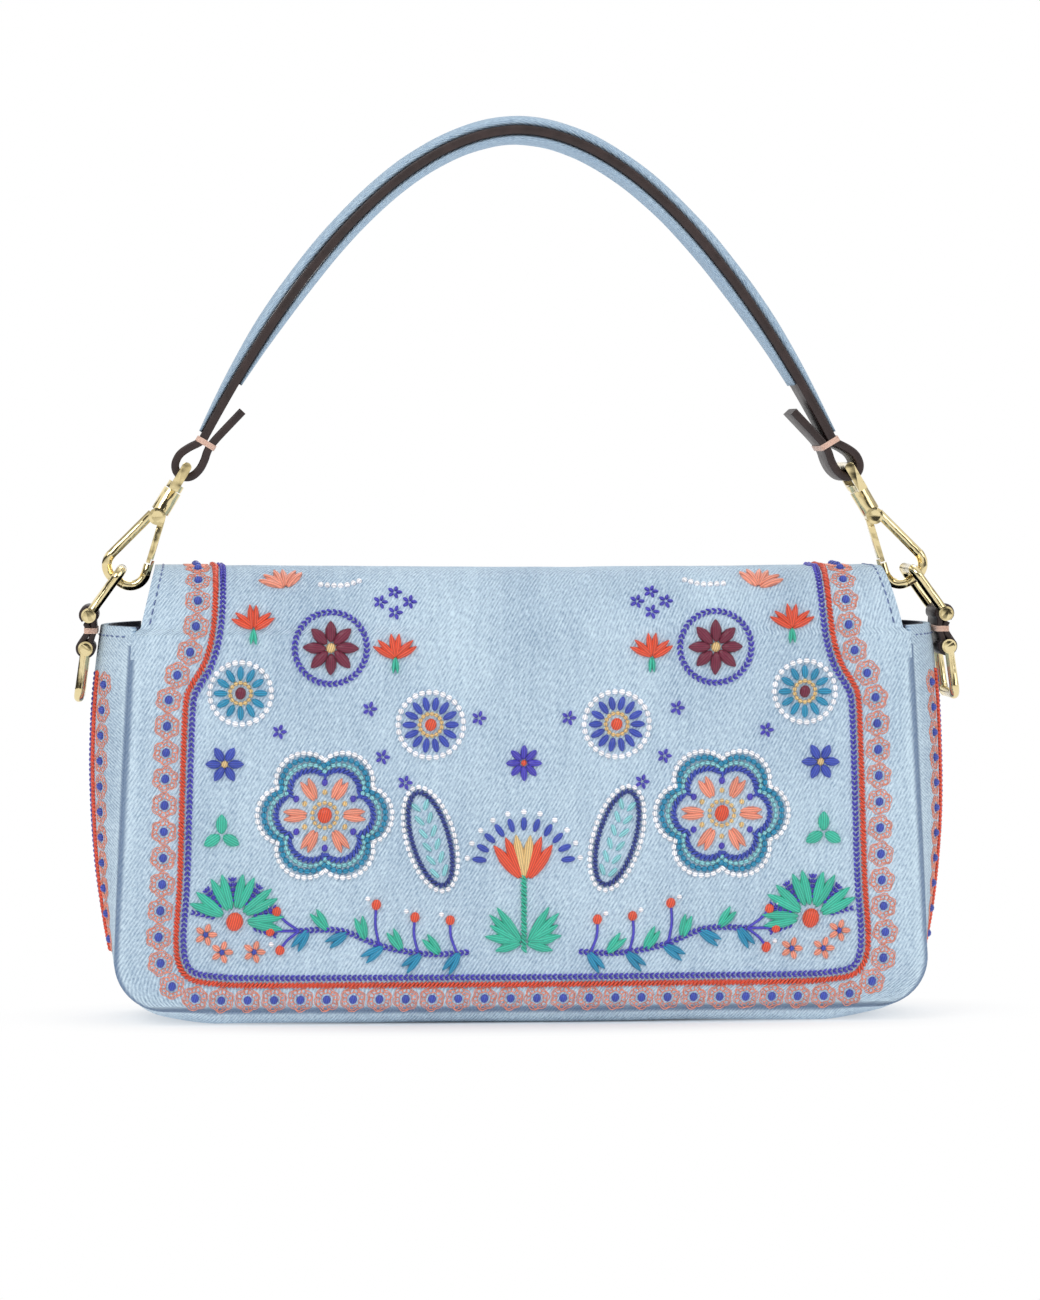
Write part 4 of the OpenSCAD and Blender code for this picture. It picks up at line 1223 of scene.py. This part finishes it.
# ---- Thread bindings ----
# Thick waxed peach thread, wound four turns to a bar round the folded ends of the
# strap and round the waist of each side tab.
def waxed_thread():
    material, shader, place = new_material("peach thread", Roughness=0.6, Sheen_Weight=0.3)
    fibre = mottled(place, 2400, 2)
    connect(
        shader,
        Base_Color=mixed(fibre, dyed(190, 142, 122), dyed(250, 220, 202)),
        Normal=bumped(fibre, 0.08 * MM, 0.6),
    )
    return material


thread = waxed_thread()


def winding(centre, out, up, half_out, half_across=strap_half + 0.15, radius=0.26):
    """One turn of thread round a flat strip, as a closed ring of rope."""
    corners = [
        centre + out * side * half_out + Vector((0, end * half_across, 0))
        for side, end in ((1, 1), (-1, 1), (-1, -1), (1, -1))
    ]
    path = [
        a.lerp(b, share)
        for a, b in zip(corners, corners[1:] + corners[:1]) for share in (0.04, 0.5, 0.96)
    ]
    n = len(path)

    def place(u, v):
        i = round(v * n) % n
        side = (path[(i + 1) % n] - path[i - 1]).normalized().cross(up)
        turn = math.tau * u
        return path[i] + (side * math.cos(turn) + up * math.sin(turn)) * radius

    return sealed(cloth_grid(6, n, math.tau * radius, 4 * (half_out + half_across), place))


def bound(name, body, replaced, turns):
    """A piece made of several turns of thread."""
    bar, one_turn = bmesh.new(), bpy.data.meshes.new("one turn")
    for turn in turns:
        turn.to_mesh(one_turn)
        turn.free()
        bar.from_mesh(one_turn)
    bpy.data.meshes.remove(one_turn)
    piece = finished(bar, name, thread)
    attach(piece, body)
    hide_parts(replaced)


turns_per_bar, turn_pitch, bar_up = 4, 0.45, 26.95
turns = []
for sign in (-1, 1):
    axis = from_hook(0, 1, sign) - from_hook(0, 0, sign)
    out = from_hook(1, 0, sign) - from_hook(0, 0, sign)
    for turn in range(turns_per_bar):
        centre = from_hook(-1.3, bar_up + turn * turn_pitch, sign)
        turns.append(winding(centre, out, axis, 3.2))
bound("strap_bindings", "strap", "strap_threads", turns)

upper_pin, lower_pin = (135.166, 127.6), (136.19, 117.2)
waist_x, waist_z = 134.54, 122.7
turns = []
for sign in (-1, 1):
    for turn in range(turns_per_bar):
        centre = Vector((sign * waist_x, 0, waist_z - 0.68 + turn * turn_pitch))
        turns.append(winding(centre, Vector((sign, 0, 0)), Vector((0, 0, 1)), 1.95))
bound("tab_bindings", "bag", "tab_threads", turns)


# ---- Side tabs ----
# A band of the same leather round both link pins, pinched between them by the
# thread bar, so that each pin lies in a loop; its cut ends are on the outside.
tab_thickness, loop_radius = 1.85, 2.2


def tab_path(sign):
    points = []
    for pin, start, waist in ((upper_pin, -50, -0.88), (lower_pin, 130, 0.88)):
        points += [polar(*pin, loop_radius, math.radians(start + k * 35)) for k in range(9)]
        points.append((waist_x + waist, waist_z))
    return smooth_path([Vector((sign * x, 0, z)) for x, z in points], 3, closed=True)


for side, sign in (("left", -1), ("right", 1)):
    piece = leather_strip(side + "_tab_leather", tab_path(sign), tab_thickness, wrapped=True)
    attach(piece, "bag")
    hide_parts(side + "_tab")


# ---- Studio ----
# A pale seamless floor, three soft lamps and a bright even surround, which belong to
# the picture and not to the bag.
def pale_paper():
    material, shader, place = new_material("pale paper", Roughness=0.9)
    grain = mottled(place, 30, 3)
    connect(shader, Base_Color=mixed(grain, dyed(246, 247, 249), dyed(252, 252, 253)))
    # Away from the bag's shadow the paper is lit up to plain white
    oval = stretched(place, (0.55, 1.6, 1))
    away = oval.node("ShaderNodeVectorMath", {"operation": "LENGTH"}, {0: oval}, 1)
    share = away.node("ShaderNodeMapRange", {"interpolation_type": "SMOOTHSTEP"},
                      {0: away, 1: 0.03, 2: 0.10, 3: 0.0, 4: 1.0})
    glow = place.node("ShaderNodeEmission", {}, {"Color": (1, 1, 1, 1), "Strength": 1.0})
    paper = Socket(shader.outputs[0])
    both = place.node("ShaderNodeMixShader", {}, {0: share, 1: paper, 2: glow})
    tree = material.node_tree
    tree.links.new(both.output, tree.nodes["Material Output"].inputs["Surface"])
    return material


bm = bmesh.new()
bmesh.ops.create_grid(bm, x_segments=8, y_segments=8, size=4)
floor = finished(bm, "floor", pale_paper())


def softbox(name, place, aim, size, power):
    lamp = bpy.data.lights.new(name, "AREA")
    lamp.shape, lamp.size, lamp.energy = "SQUARE", size, power
    stand = bpy.data.objects.new(name, lamp)
    stand.location = place
    stand.rotation_euler = (Vector(aim) - Vector(place)).to_track_quat("-Z", "Y").to_euler()
    scene.collection.objects.link(stand)


softbox("key", (-0.9, -1.3, 1.5), (0, 0, 0.12), 1.0, 16)
softbox("fill", (1.3, -1.0, 0.9), (0, 0, 0.12), 1.2, 7)
softbox("rim", (0.2, 1.2, 1.4), (0, 0, 0.15), 1.0, 9)

# The camera sees a white surround, and the bag is lit by one half as bright
world = bpy.data.worlds.new("studio")
world.use_nodes = True
scene.world = world
surround, ambient = world.node_tree, 0.5
rays = surround.nodes.new("ShaderNodeLightPath")
seen, glossy = Socket(rays.outputs["Is Camera Ray"]), Socket(rays.outputs["Is Glossy Ray"])
way = Socket(surround.nodes.new("ShaderNodeTexCoord").outputs["Generated"])
height = way.node("ShaderNodeVectorMath", {"operation": "DOT_PRODUCT"},
                  {0: way, 1: (0.25, 0.3, 0.92)}, 1)
# Metal sees dark cloths between the lamps, as on a photographer's table
cloths = height.node("ShaderNodeValToRGB", {"stops": [
    (0.0, (0.9, 0.9, 0.9, 1)), (0.36, (0.75, 0.74, 0.7, 1)), (0.47, (0.05, 0.05, 0.05, 1)),
    (0.60, (0.04, 0.04, 0.04, 1)), (0.68, (1.2, 1.2, 1.2, 1)), (0.84, (0.35, 0.35, 0.35, 1)),
    (1.0, (1.2, 1.2, 1.2, 1)),
]}, {"Fac": height * 0.5 + 0.5})
tint = mixed(glossy, (1 - seen) * ambient + seen, cloths)
surround.links.new(tint.output, surround.nodes["Background"].inputs["Color"])
scene.view_settings.view_transform = "Standard"
